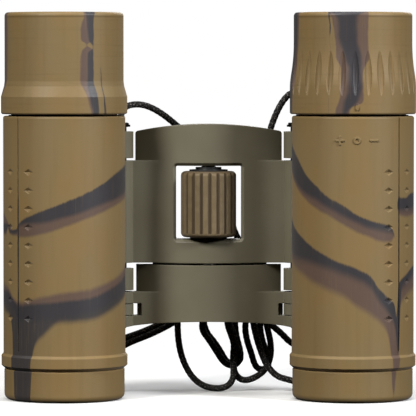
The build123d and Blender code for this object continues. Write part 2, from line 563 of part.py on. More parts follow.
with BuildPart() as bridge_top_cover:
    cover_half = BRIDGE_HALF - COVER_INSET
    with BuildSketch(Plane.XY.offset(BRIDGE_LOW + COVER_INSET)):
        with BuildLine():
            ThreePointArc((-cover_half, COVER_EDGE), (0, COVER_BACK), (cover_half, COVER_EDGE))
            Polyline((cover_half, COVER_EDGE), (cover_half, BRIDGE_BACK),
                     (-cover_half, BRIDGE_BACK), (-cover_half, COVER_EDGE))
        make_face()
    extrude(amount=BRIDGE_HIGH - BRIDGE_LOW)
    with BuildSketch(Plane.XZ.offset(-CLEAR)):
        with BuildLine():
            ThreePointArc((-COVER_SPAN, COVER_TOP - COVER_DROP), (0, COVER_TOP),
                          (COVER_SPAN, COVER_TOP - COVER_DROP))
            Polyline((COVER_SPAN, COVER_TOP - COVER_DROP), (COVER_SPAN, 0), (-COVER_SPAN, 0),
                     (-COVER_SPAN, COVER_TOP - COVER_DROP))
        make_face()
    extrude(amount=2 * CLEAR, mode=Mode.INTERSECT)
    with BuildSketch(Plane.XZ.offset(-CLEAR)):
        with Locations((0, (WINDOW_LOW + WINDOW_HIGH) / 2)):
            RectangleRounded(2 * WINDOW_HALF + 3 * COVER_INSET,
                             WINDOW_HIGH - WINDOW_LOW + 3 * COVER_INSET, 0.8)
    extrude(amount=2 * CLEAR, mode=Mode.SUBTRACT)
    with BuildSketch(Plane.XY.offset(SKIRT_LOW)):
        with Locations((0, (BRIDGE_BACK + FACE_GAP + SKIRT_BACK) / 2)):
            Rectangle(2 * SKIRT_HALF, SKIRT_BACK - BRIDGE_BACK - FACE_GAP)
    extrude(amount=BRIDGE_LOW + 1 - SKIRT_LOW)
    with BuildSketch(Plane.XZ.offset(-SCREW_SEAT)):
        with Locations(*SCREW_SPOTS):
            Circle(SCREW_HEAD_R + 0.1)
    extrude(amount=-3, mode=Mode.SUBTRACT)
    with BuildSketch(Plane.XZ.offset(-SCREW_SEAT)):
        with Locations(*SCREW_SPOTS):
            Circle(SCREW_R)
    extrude(amount=3, mode=Mode.SUBTRACT)
save(bridge_top_cover, "bridge_top_cover")

with BuildPart() as cover_screws:
    for spot_x, spot_z in SCREW_SPOTS:
        with BuildSketch(Plane.XZ.offset(-SCREW_SEAT)):
            with Locations((spot_x, spot_z)):
                Circle(SCREW_HEAD_R)
        extrude(amount=-SCREW_HEAD)
        with BuildSketch(Plane.XZ.offset(-SCREW_SEAT)):
            with Locations((spot_x, spot_z)):
                Circle(SCREW_R)
        extrude(amount=SCREW_SEAT - SCREW_TIP)
        with BuildSketch(Plane.XZ.offset(-SCREW_SEAT - SCREW_HEAD)):
            with Locations((spot_x, spot_z)):
                Rectangle(RECESS_LONG, RECESS_WIDE)
                Rectangle(RECESS_WIDE, RECESS_LONG)
        extrude(amount=RECESS_DEEP, mode=Mode.SUBTRACT)
save(cover_screws, "cover_screws")

for bush_name, bush_r, hole_r, low, high in (
        ("upper_wheel_bush", UPPER_BUSH_R, JOURNAL_R + RUNNING, WINDOW_HIGH,
         WINDOW_HIGH + UPPER_BUSH_DEEP),
        ("lower_wheel_bush", LOWER_BUSH_R, SPINDLE_R + RUNNING, BRIDGE_LOW, WINDOW_LOW)):
    with BuildPart() as bush:
        with BuildSketch(Plane.XY.offset(low)):
            with Locations((0, WHEEL_Y)):
                Circle(bush_r)
                Circle(hole_r, mode=Mode.SUBTRACT)
        extrude(amount=high - low)
    save(bush, bush_name)

EYELET_LOW, EYELET_THICK, EYELET_Y = 66.5, 0.5, 13.4
EYELET_HUB_R, EYELET_NECK, EYELET_R, EYELET_HOLE_R = 1.6, 2.2, 2.05, 1.3
PIN_HEAD_LOW, PIN_HEAD_HIGH, PIN_HEAD_R = EYELET_LOW + EYELET_THICK, 67.6, 1.8

for side_name, side in SIDES:
    with BuildPart() as hinge_pin:
        with BuildSketch(Plane.XY.offset(LUG_SPANS[0][0] + 0.1)):
            with Locations((side * HINGE_X, HINGE_Y)):
                Circle(PIN_R)
        extrude(amount=PIN_HEAD_LOW - LUG_SPANS[0][0] - 0.1)
        with BuildSketch(Plane.XY.offset(PIN_HEAD_LOW)):
            with Locations((side * HINGE_X, HINGE_Y)):
                Circle(PIN_HEAD_R)
        extrude(amount=PIN_HEAD_HIGH - PIN_HEAD_LOW)
        chamfer(hinge_pin.edges().group_by(Axis.Z)[-1], 0.2)
    save(hinge_pin, f"{side_name}_hinge_pin")

    with BuildPart() as eyelet:
        with BuildSketch(Plane.XY.offset(EYELET_LOW)):
            with Locations((side * HINGE_X, HINGE_Y)):
                Circle(EYELET_HUB_R)
            with Locations((side * HINGE_X, (HINGE_Y + EYELET_Y) / 2)):
                Rectangle(EYELET_NECK, EYELET_Y - HINGE_Y)
            with Locations((side * HINGE_X, EYELET_Y)):
                Circle(EYELET_R)
                Circle(EYELET_HOLE_R, mode=Mode.SUBTRACT)
            with Locations((side * HINGE_X, HINGE_Y)):
                Circle(PIN_R, mode=Mode.SUBTRACT)
        extrude(amount=EYELET_THICK)
    save(eyelet, f"{side_name}_strap_eyelet")

# ---- focus wheel --------------------------------------------------------------------------
with BuildPart() as focus_wheel_grip:
    with BuildSketch(Plane.XY.offset(WHEEL_LOW)):
        with Locations((0, WHEEL_Y)):
            Circle(WHEEL_R)
    extrude(amount=WHEEL_HIGH - WHEEL_LOW)
    fillet(focus_wheel_grip.edges().filter_by(GeomType.CIRCLE), WHEEL_ROUND)
    spindle_hole(WHEEL_BORE_R, WHEEL_LOW, WHEEL_HIGH)
    with BuildSketch(Plane.XY.offset(WHEEL_LOW + WHEEL_FOOT)):
        with Locations((0, WHEEL_Y)):
            with PolarLocations(WHEEL_R + 0.1, WHEEL_GROOVES, start_angle=GROOVE_PHASE - 90):
                Circle(WHEEL_GROOVE_R)
    extrude(amount=WHEEL_HIGH - WHEEL_LOW - WHEEL_FOOT, mode=Mode.SUBTRACT)
save(focus_wheel_grip, "focus_wheel_grip")

with BuildPart() as focus_wheel_hub:
    with BuildSketch(Plane(origin=(0, WHEEL_Y, 0), x_dir=(1, 0, 0), z_dir=(0, -1, 0))):
        with BuildLine():
            Polyline((SPINDLE_R, WINDOW_LOW + FACE_GAP), (WHEEL_BORE_R, WINDOW_LOW + FACE_GAP),
                     (WHEEL_BORE_R, WHEEL_HIGH), (HUB_FLANGE_R, WHEEL_HIGH),
                     (HUB_FLANGE_R, WHEEL_HIGH + HUB_STEP), (HUB_NECK_R, WHEEL_HIGH + HUB_STEP),
                     (HUB_NECK_R, WHEEL_HIGH + 1.0), (HUB_TOP_R, WHEEL_HIGH + 1.0),
                     (HUB_TOP_R, WINDOW_HIGH - FACE_GAP), (JOURNAL_R, WINDOW_HIGH - FACE_GAP),
                     (JOURNAL_R, WHEEL_HIGH), (SPINDLE_R, WHEEL_HIGH), close=True)
        make_face()
    revolve(axis=Axis((0, WHEEL_Y, 0), (0, 0, 1)))
save(focus_wheel_hub, "focus_wheel_hub")

with BuildPart() as focus_spindle:
    with BuildSketch(Plane.XY.offset(SPINDLE_LOW)):
        with Locations((0, WHEEL_Y)):
            Circle(SPINDLE_R)
    extrude(amount=WHEEL_HIGH - SPINDLE_LOW)
    with BuildSketch(Plane.XY.offset(WHEEL_HIGH)):
        with Locations((0, WHEEL_Y)):
            Circle(JOURNAL_R)
    extrude(amount=WINDOW_HIGH + UPPER_BUSH_DEEP - 0.3 - WHEEL_HIGH)
save(focus_spindle, "focus_spindle")

# ---- focus yoke ---------------------------------------------------------------------------
with BuildPart() as focus_yoke:
    with BuildSketch(Plane.XY.offset(YOKE_LOW - YOKE_BOTTOM_DROP)):
        arched_plan(YOKE_HALF, BRIDGE_BACK)
    extrude(amount=YOKE_HIGH - YOKE_LOW + YOKE_BOTTOM_DROP)
    wing_blocks(YOKE_LOW - YOKE_BOTTOM_DROP, YOKE_SHOULDER)
    with BuildSketch(Plane.XZ.offset(-CLEAR)):
        edge = HINGE_X + KNUCKLE_R
        with BuildLine():
            ThreePointArc((-edge, YOKE_LOW - YOKE_BOTTOM_DROP), (0, YOKE_LOW),
                          (edge, YOKE_LOW - YOKE_BOTTOM_DROP))
            Polyline((edge, YOKE_LOW - YOKE_BOTTOM_DROP), (edge, YOKE_HIGH), (-edge, YOKE_HIGH),
                     (-edge, YOKE_LOW - YOKE_BOTTOM_DROP))
        make_face()
    extrude(amount=2 * CLEAR, mode=Mode.INTERSECT)
    for side_name, side in SIDES:
        slot_x = YOKE_SLOT_X[side_name]
        with BuildSketch(Plane.XY.offset(YOKE_SLOT[0])):
            with Locations((side * (slot_x + CLEAR / 2), HINGE_Y)):
                Rectangle(CLEAR, CLEAR)
            with Locations((side * slot_x, YOKE_POCKET_BACK - CLEAR / 2)):
                Rectangle(2 * YOKE_POCKET_WIDE, CLEAR)
        extrude(amount=YOKE_SLOT[1] - YOKE_SLOT[0], mode=Mode.SUBTRACT)
    pin_holes(YOKE_PIN_R, 0, YOKE_SHOULDER)
    spindle_hole(SPINDLE_R + 0.6, SPINDLE_LOW - 1.5, YOKE_HIGH)
    spindle_hole(NUT_R, NUT_LOW, YOKE_HIGH)
save(focus_yoke, "focus_yoke")

with BuildPart() as focus_nut:
    with BuildSketch(Plane.XY.offset(NUT_LOW)):
        with Locations((0, WHEEL_Y)):
            Circle(NUT_R)
            Circle(SPINDLE_R + 0.05, mode=Mode.SUBTRACT)
    extrude(amount=NUT_HIGH - NUT_LOW)
save(focus_nut, "focus_nut")

with BuildPart() as yoke_pins:
    with BuildSketch(Plane.XY.offset(YOKE_LOW - YOKE_BOTTOM_DROP + 0.3)):
        with Locations((-HINGE_X, HINGE_Y), (HINGE_X, HINGE_Y)):
            Circle(YOKE_PIN_R)
    extrude(amount=YOKE_SHOULDER - 0.2 - YOKE_LOW + YOKE_BOTTOM_DROP - 0.3)
save(yoke_pins, "yoke_pins")


# ---- strap cord ---------------------------------------------------------------------------
def corner_radii(route):
    """One radius for each corner: BEND_SHARE of the shorter run over tan of half the turn."""
    radii = []
    for before, corner, after in zip(route, route[1:], route[2:]):
        run_in = Vector(*corner) - Vector(*before)
        run_out = Vector(*after) - Vector(*corner)
        half_turn = radians(run_in.get_angle(run_out)) / 2
        radii.append(BEND_SHARE * min(run_in.length, run_out.length) / tan(half_turn))
    return radii


def cord_tube(name, route):
    radii = corner_radii(route)
    with BuildPart() as tube:
        with BuildLine() as path:
            FilletPolyline(*route, radius=radii)
        start = path.line @ 0
        with BuildSketch(Plane(origin=start, z_dir=path.line % 0)):
            Circle(CORD_R)
        sweep()
    length = path.wires()[0].length
    ratio = tube.part.volume / (pi * CORD_R ** 2 * length)
    print(name, "radii", [round(r, 1) for r in radii], "length", round(length, 1),
          "volume ratio", round(ratio, 4))
    save(tube, name)


# Each lead comes up out of its eyelet, bends over and drops into the hank behind the bridge.
LEFT_LEAD = [
    (-21.5, 13.4, 66.3), (-22.0, 13.6, 69.2), (-20.9, 16.4, 71.7), (-16.6, 18.0, 72.2),
    (-12.2, 18.8, 70.2), (-7.8, 20.0, 66.6), (-3.8, 22.4, 63.0), (-0.2, 24.2, 59.8),
    (0.8, 24.9, HANK_HIGH + 0.1)]
RIGHT_LEAD = [
    (21.5, 13.4, 66.3), (22.0, 13.6, 69.0), (25.0, 15.8, 71.6), (24.2, 17.2, 74.6),
    (20.8, 17.8, 75.2), (18.5, 18.0, 72.9), (16.5, 18.0, 69.0), (15.0, 18.4, 64.4),
    (14.6, 18.8, 56.0), (14.2, 20.2, 46.0), (13.8, 22.4, 36.0), (13.8, 22.4, LOOPS_HIGH)]
cord_tube("strap_cord_left_lead", LEFT_LEAD)
cord_tube("strap_cord_right_lead", RIGHT_LEAD)

# The rest of the cord is folded into a hank, tied round its waist, and its last turns hang
# loose below it. Each is one solid of the outer shape that the cord fills.
with BuildPart() as strap_cord_hank:
    with BuildSketch(Plane.XZ.offset(-HANK_BACK)):
        with Locations((0, HANK_MID - LOBE_OFFSET), (0, HANK_MID + LOBE_OFFSET)):
            Circle(LOBE_R)
        with Locations((0, HANK_MID)):
            Rectangle(2 * WAIST_HALF, TIE_HEIGHT)
            for end in (-1, 1):
                Polygon((-WAIST_HALF, end * TIE_HEIGHT / 2), (WAIST_HALF, end * TIE_HEIGHT / 2),
                        (SHOULDER_X, end * SHOULDER_Z), (-SHOULDER_X, end * SHOULDER_Z),
                        align=None)
    extrude(amount=HANK_BACK - HANK_FRONT)
save(strap_cord_hank, "strap_cord_hank")

with BuildPart() as strap_cord_loops:
    with BuildSketch(Plane.XZ.offset(-LOOPS_BACK)):
        with BuildLine():
            Polyline(*LOOPS_OUTLINE, close=True)
        make_face()
    extrude(amount=LOOPS_BACK - HANK_FRONT)
save(strap_cord_loops, "strap_cord_loops")

with BuildPart() as strap_tie:
    with BuildSketch(Plane.XY.offset(HANK_MID - TIE_HEIGHT / 2)):
        with Locations((0, (HANK_FRONT + HANK_BACK) / 2)):
            RectangleRounded(2 * (WAIST_HALF + TIE_WRAP),
                             HANK_BACK - HANK_FRONT + 2 * TIE_WRAP, TIE_CORNER)
            Rectangle(2 * WAIST_HALF, HANK_BACK - HANK_FRONT, mode=Mode.SUBTRACT)
    extrude(amount=TIE_HEIGHT)
save(strap_tie, "strap_tie")
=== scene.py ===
"""Looks for the compact folding binoculars: camouflage rubber, olive plastic and a braided cord.

Everything is in the row frame, in metres: +Z along the optical axes, -Y the side that faces the
camera. Lengths written in millimetres are multiplied by MM, and angles round a barrel run from
its camera side, positive towards +X.
"""
import json
import math

import bmesh
import bpy
import numpy as np
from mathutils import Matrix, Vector


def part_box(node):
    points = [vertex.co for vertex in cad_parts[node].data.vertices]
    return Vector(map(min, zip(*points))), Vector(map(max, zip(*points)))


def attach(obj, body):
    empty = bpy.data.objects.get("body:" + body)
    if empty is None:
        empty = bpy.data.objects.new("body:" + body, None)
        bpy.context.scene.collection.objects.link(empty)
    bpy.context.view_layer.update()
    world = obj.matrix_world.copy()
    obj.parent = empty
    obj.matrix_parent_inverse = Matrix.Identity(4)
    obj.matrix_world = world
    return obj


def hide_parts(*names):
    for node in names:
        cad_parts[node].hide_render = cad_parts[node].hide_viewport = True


MM = 0.001
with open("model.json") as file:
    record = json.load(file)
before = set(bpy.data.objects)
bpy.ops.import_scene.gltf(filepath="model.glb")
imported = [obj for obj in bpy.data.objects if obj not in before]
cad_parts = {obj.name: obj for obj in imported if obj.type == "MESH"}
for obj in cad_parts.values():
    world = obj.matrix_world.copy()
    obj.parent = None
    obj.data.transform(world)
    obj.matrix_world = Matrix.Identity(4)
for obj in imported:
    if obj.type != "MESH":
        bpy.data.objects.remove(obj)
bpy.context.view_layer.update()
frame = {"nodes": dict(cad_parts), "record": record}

# ---- camera -------------------------------------------------------------------------------
CAMERA_AT = Vector((0, -900, 82)) * MM
CAMERA_AIM = Vector((-0.13, 0, 46.8)) * MM
VIEW_WIDTH = 101.9 * MM              # what the image is wide at the barrels' axes


def make_camera():
    data = bpy.data.cameras.new("camera")
    data.lens = data.sensor_width * -CAMERA_AT.y / VIEW_WIDTH
    data.clip_start, data.clip_end = 0.05, 20
    camera = bpy.data.objects.new("camera", data)
    camera.location = CAMERA_AT
    camera.rotation_euler = (CAMERA_AIM - CAMERA_AT).to_track_quat("-Z", "Y").to_euler()
    bpy.context.scene.collection.objects.link(camera)
    bpy.context.scene.camera = camera


make_camera()

# ---- strap cord ---------------------------------------------------------------------------
CORD_DIAMETER = 1.65 * MM

# The hank's sizes and the route's points are in millimetres.
HANK_MID = 41.0                      # the height of the waist, where the tie pinches the hank
HANK_TURNS, LAYER_BACK, LAYER_STEP = 4, 24.2, 1.7
WAIST_SIDE, WAIST_RISE = 0.95, 1.5
LOBE_RADIUS, RADIUS_SPREAD = 5.15, 0.12
LOBE_OFFSET, OFFSET_SPREAD = 8.25, 0.15
LOBE_STEPS, LOBE_PAST = 8, 29.0      # steps round a lobe, and degrees past its half circle

LEFT_LEAD = [
    (-21.5, 13.4, 66.3), (-22.0, 13.6, 69.2), (-20.9, 16.4, 71.7), (-16.6, 18.0, 72.2),
    (-12.2, 18.8, 70.2), (-7.8, 20.0, 66.6), (-3.8, 22.4, 63.0), (-0.2, 24.2, 59.8),
    (0.8, 24.9, 55.4), (1.1, 25.4, 50.0), (1.0, 24.8, 45.4)]
LOOPS = [
    (5.8, 17.3, 44.8), (6.0, 17.3, 41.4), (7.4, 17.3, 38.4), (9.2, 17.3, 34.6),
    (11.0, 17.3, 30.0), (11.6, 17.3, 24.6), (10.9, 17.3, 18.6), (12.0, 17.3, 13.6),
    (13.1, 17.3, 10.2), (14.4, 17.3, 6.9), (17.0, 17.3, 3.9), (20.6, 17.3, 3.0),
    (24.4, 17.3, 1.8), (27.6, 17.3, 1.4), (29.6, 17.3, 3.6), (28.8, 17.3, 7.4),
    (25.8, 17.3, 10.4), (20.7, 17.4, 12.1), (18.2, 17.8, 14.8), (15.2, 18.4, 17.2),
    (13.2, 19.0, 21.0), (9.0, 19.1, 24.8), (2.5, 19.0, 26.4), (-4.2, 19.0, 25.6),
    (-7.6, 19.0, 21.4), (-7.8, 19.0, 16.6), (-7.5, 19.0, 12.0), (-6.4, 19.0, 7.6),
    (-4.2, 19.0, 3.6), (-1.4, 19.0, 1.4), (1.8, 19.0, 0.7), (4.6, 19.0, 1.1),
    (6.2, 19.0, 3.0), (6.3, 19.0, 5.8), (6.1, 19.0, 9.0), (6.5, 19.0, 12.0),
    (5.2, 19.0, 15.4), (4.7, 19.1, 19.8), (1.8, 19.6, 24.2), (-3.4, 21.2, 23.6),
    (-7.2, 22.2, 20.2), (-11.6, 22.4, 17.0), (-16.6, 22.4, 14.7), (-21.4, 22.4, 13.1),
    (-26.6, 22.4, 11.2), (-30.6, 22.2, 7.6), (-32.4, 21.8, 3.2), (-30.2, 21.4, 0.8),
    (-27.0, 21.1, 1.2), (-25.6, 20.8, 4.2), (-24.8, 20.7, 7.8), (-22.8, 20.7, 10.6),
    (-19.4, 20.7, 12.4), (-14.6, 20.7, 14.2), (-9.8, 20.7, 16.6), (-4.6, 20.7, 19.8),
    (0.6, 20.8, 21.4), (4.2, 20.9, 20.2), (5.2, 20.8, 17.0), (6.6, 20.8, 13.6),
    (6.8, 20.8, 10.6), (6.3, 20.8, 7.6), (6.4, 20.8, 4.8), (7.7, 20.8, 3.0),
    (9.6, 20.8, 2.6), (12.0, 20.8, 3.5), (14.2, 20.8, 5.2), (15.6, 20.8, 8.2),
    (15.7, 20.8, 11.8), (14.9, 20.8, 15.4), (13.8, 21.0, 19.8), (10.4, 21.6, 23.2),
    (5.0, 22.2, 25.6), (0.4, 22.3, 23.4), (-0.8, 22.5, 19.4), (-2.0, 22.5, 15.6),
    (0.4, 22.5, 12.4), (2.4, 22.5, 9.2), (3.5, 22.5, 7.5), (4.9, 22.5, 6.3),
    (6.8, 22.5, 6.3), (7.9, 22.5, 7.7), (7.5, 22.5, 10.2), (6.0, 22.5, 13.2),
    (4.6, 22.5, 16.8), (4.9, 22.9, 20.8), (4.3, 23.5, 23.6), (2.6, 24.0, 25.3),
    (0.2, 24.2, 25.3), (-1.5, 24.2, 23.2), (-1.5, 24.2, 19.4), (-0.9, 24.2, 14.9),
    (1.6, 24.2, 11.9), (3.2, 24.2, 9.4), (4.1, 24.2, 7.7), (5.3, 24.2, 6.6),
    (7.2, 24.2, 6.6), (8.2, 24.2, 7.9), (7.9, 24.2, 10.4), (6.9, 24.2, 13.8),
    (6.6, 24.2, 17.8), (6.3, 24.2, 21.6), (6.3, 24.2, 24.2), (7.5, 24.2, 25.6),
    (9.4, 24.2, 25.6), (10.6, 24.2, 24.2), (10.3, 24.2, 20.6), (9.1, 24.2, 16.4),
    (9.6, 24.2, 12.6), (10.8, 24.2, 9.2), (11.5, 24.2, 6.6), (12.5, 24.2, 5.2),
    (14.3, 24.2, 5.2), (15.3, 24.2, 6.6), (14.9, 24.2, 9.0), (13.4, 24.2, 12.6),
    (12.8, 24.2, 17.4), (13.6, 23.6, 22.2)]
RIGHT_LEAD = [
    (21.5, 13.4, 66.3), (22.0, 13.6, 69.0), (25.0, 15.8, 71.6), (24.2, 17.2, 74.6),
    (20.8, 17.8, 75.2), (18.5, 18.0, 72.9), (16.5, 18.0, 69.0), (15.0, 18.4, 64.4),
    (14.6, 18.8, 56.0), (14.2, 20.2, 46.0), (13.8, 22.4, 36.0), (13.8, 22.4, 26.6)]


def lobe(radius, height, first, count):
    """Points clockwise round a lobe of the hank, from an angle in degrees."""
    points = []
    for step in range(count):
        angle = math.radians(first - step * (180 + 2 * LOBE_PAST) / LOBE_STEPS)
        points.append((radius * math.cos(angle), height + radius * math.sin(angle)))
    return points


def hank_points():
    """The hank's turns, from the back layer to the front: down its right side, up its left."""
    points = []
    for turn in range(HANK_TURNS):
        radius = LOBE_RADIUS + RADIUS_SPREAD * math.sin(2.2 * turn + 0.6)
        offset = LOBE_OFFSET + OFFSET_SPREAD * math.sin(2.7 * turn)
        steps = [(WAIST_SIDE, HANK_MID + WAIST_RISE), (WAIST_SIDE, HANK_MID - WAIST_RISE)]
        steps += lobe(radius, HANK_MID - offset, LOBE_PAST, LOBE_STEPS + 1)
        steps += [(-WAIST_SIDE, HANK_MID - WAIST_RISE), (-WAIST_SIDE, HANK_MID + WAIST_RISE)]
        # the last turn stops one step short, where the loops begin
        count = LOBE_STEPS if turn == HANK_TURNS - 1 else LOBE_STEPS + 1
        steps += lobe(radius, HANK_MID + offset, 180 + LOBE_PAST, count)
        for index, (x, z) in enumerate(steps):
            points.append((x, LAYER_BACK - LAYER_STEP * (turn + index / len(steps)), z))
    return points


def smooth_line(points):
    """The points of the smooth curve that the route's control points shape, in metres."""
    curve = bpy.data.curves.new("route", "CURVE")
    curve.dimensions = "3D"
    spline = curve.splines.new("NURBS")
    spline.points.add(len(points) - 1)
    for target, point in zip(spline.points, points):
        target.co = (*(Vector(point) * MM), 1)
    spline.order_u = 3
    spline.use_endpoint_u = True
    spline.resolution_u = 16
    holder = bpy.data.objects.new("route", curve)
    mesh = bpy.data.meshes.new_from_object(holder)
    line = np.array([v.co for v in mesh.vertices])
    bpy.data.objects.remove(holder)
    bpy.data.meshes.remove(mesh)
    bpy.data.curves.remove(curve)
    return line


RING_SIDES = 16
BRAID_STRANDS, BRAID_PITCH, BRAID_DEPTH = 4, 5.2 * MM, 0.085 * MM
BRAID_ROUNDNESS = 0.6
UV_PER_METRE = 10                    # how fast the braid's UV map runs along the cord


def braid_height(around, along):
    """How high a diamond braid stands, 0 to 1: strands of two opposite helices that cross."""
    first = around * BRAID_STRANDS + along / BRAID_PITCH * BRAID_STRANDS
    second = around * BRAID_STRANDS - along / BRAID_PITCH * BRAID_STRANDS
    over = np.sin(np.pi * first) * np.sin(np.pi * second) > 0
    across = np.where(over, np.abs(np.sin(np.pi * first)), np.abs(np.sin(np.pi * second)))
    return across ** BRAID_ROUNDNESS


def braided_tube(name, line, radius):
    """A closed tube along a line with a braid's relief, and a UV map: x around, y along."""
    runs = np.linalg.norm(np.diff(line, axis=0), axis=1)
    along = np.concatenate([[0], np.cumsum(runs)])
    tangents = np.gradient(line, axis=0)
    tangents /= np.linalg.norm(tangents, axis=1)[:, None]
    side = np.cross(tangents[0], (0, 0, 1.0))
    rings = []
    turns = np.arange(RING_SIDES) / RING_SIDES
    for centre, tangent, distance in zip(line, tangents, along):
        side = side - tangent * (side @ tangent)
        side /= np.linalg.norm(side)
        up = np.cross(tangent, side)
        reach = radius - BRAID_DEPTH * (1 - braid_height(turns, distance))
        directions = (np.cos(2 * np.pi * turns)[:, None] * side
                      + np.sin(2 * np.pi * turns)[:, None] * up)
        rings.append(centre + reach[:, None] * directions)
    points = np.concatenate([*rings, line[:1], line[-1:]])
    count, sides = len(rings), RING_SIDES
    faces = [(r * sides + s, r * sides + (s + 1) % sides,
              (r + 1) * sides + (s + 1) % sides, (r + 1) * sides + s)
             for r in range(count - 1) for s in range(sides)]
    start, end = count * sides, count * sides + 1
    faces += [(start, (s + 1) % sides, s) for s in range(sides)]
    last = (count - 1) * sides
    faces += [(end, last + s, last + (s + 1) % sides) for s in range(sides)]
    mesh = bpy.data.meshes.new(name)
    mesh.from_pydata(points.tolist(), [], faces)
    uv = mesh.uv_layers.new(name="braid")
    for polygon in mesh.polygons:
        corners = [mesh.loops[i].vertex_index for i in polygon.loop_indices]
        wraps = {c % sides for c in corners if c < start} >= {0, sides - 1}
        for loop, corner in zip(polygon.loop_indices, corners):
            ring, step = divmod(min(corner, start - 1), sides)
            around = step / sides + (1 if wraps and step == 0 else 0)
            uv.data[loop].uv = (around, along[ring] * UV_PER_METRE)
    mesh.polygons.foreach_set("use_smooth", [True] * len(mesh.polygons))
    piece = bpy.data.objects.new(name, mesh)
    bpy.context.scene.collection.objects.link(piece)
    return piece


BAND_STEPS, SECTION_STEPS = 48, 12
BAND_POWER, SECTION_POWER = 0.45, 0.5    # 1 makes an ellipse, less makes it squarer


def squared(value, power):
    """A cosine or sine that makes a squarer outline than a circle's."""
    return math.copysign(abs(value) ** power, value)


def rounded_band(name, half_x, half_y, thickness, height, centre):
    """A closed soft band round a bundle: a rounded rectangle swept with a rounded section."""
    bm = bmesh.new()
    rings = []
    for step in range(BAND_STEPS):
        angle = 2 * math.pi * step / BAND_STEPS
        x = half_x * squared(math.cos(angle), BAND_POWER)
        y = half_y * squared(math.sin(angle), BAND_POWER)
        out = Vector((x / half_x ** 2, y / half_y ** 2, 0)).normalized()
        ring = []
        for corner in range(SECTION_STEPS):
            turn = 2 * math.pi * corner / SECTION_STEPS
            rise = squared(math.sin(turn), SECTION_POWER) * height / 2
            swell = (1 + math.cos(turn)) / 2 * thickness
            ring.append(bm.verts.new(Vector((x, y, 0)) + out * swell + Vector((0, 0, rise))
                                     + centre))
        rings.append(ring)
    for ring, after in zip(rings, rings[1:] + rings[:1]):
        for a in range(SECTION_STEPS):
            b = (a + 1) % SECTION_STEPS
            bm.faces.new((ring[a], ring[b], after[b], after[a]))
    bmesh.ops.recalc_face_normals(bm, faces=bm.faces)
    mesh = bpy.data.meshes.new(name)
    bm.to_mesh(mesh)
    bm.free()
    mesh.polygons.foreach_set("use_smooth", [True] * len(mesh.polygons))
    piece = bpy.data.objects.new(name, mesh)
    bpy.context.scene.collection.objects.link(piece)
    return piece


def middle(node):
    """The middle of a CAD part's box."""
    low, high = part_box(node)
    return (low + high) / 2


TIE_HALF_X, TIE_HALF_Y = 1.95 * MM, 4.3 * MM     # the opening inside the tie, from its middle
TIE_THICK, TIE_HIGH, TIE_BACK = 0.55 * MM, 2.6 * MM, 21.2 * MM

cord_line = smooth_line(LEFT_LEAD + hank_points() + LOOPS + RIGHT_LEAD[::-1])
neck_cord = braided_tube("neck_cord", cord_line, CORD_DIAMETER / 2)
cord_tie = rounded_band("cord_tie", TIE_HALF_X, TIE_HALF_Y, TIE_THICK, TIE_HIGH,
                        Vector((0, TIE_BACK, middle("strap_tie").z)))
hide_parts("strap_cord_left_lead", "strap_cord_right_lead", "strap_cord_hank",
            "strap_cord_loops")
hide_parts("strap_tie")
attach(neck_cord, "bridge")
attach(cord_tie, "bridge")


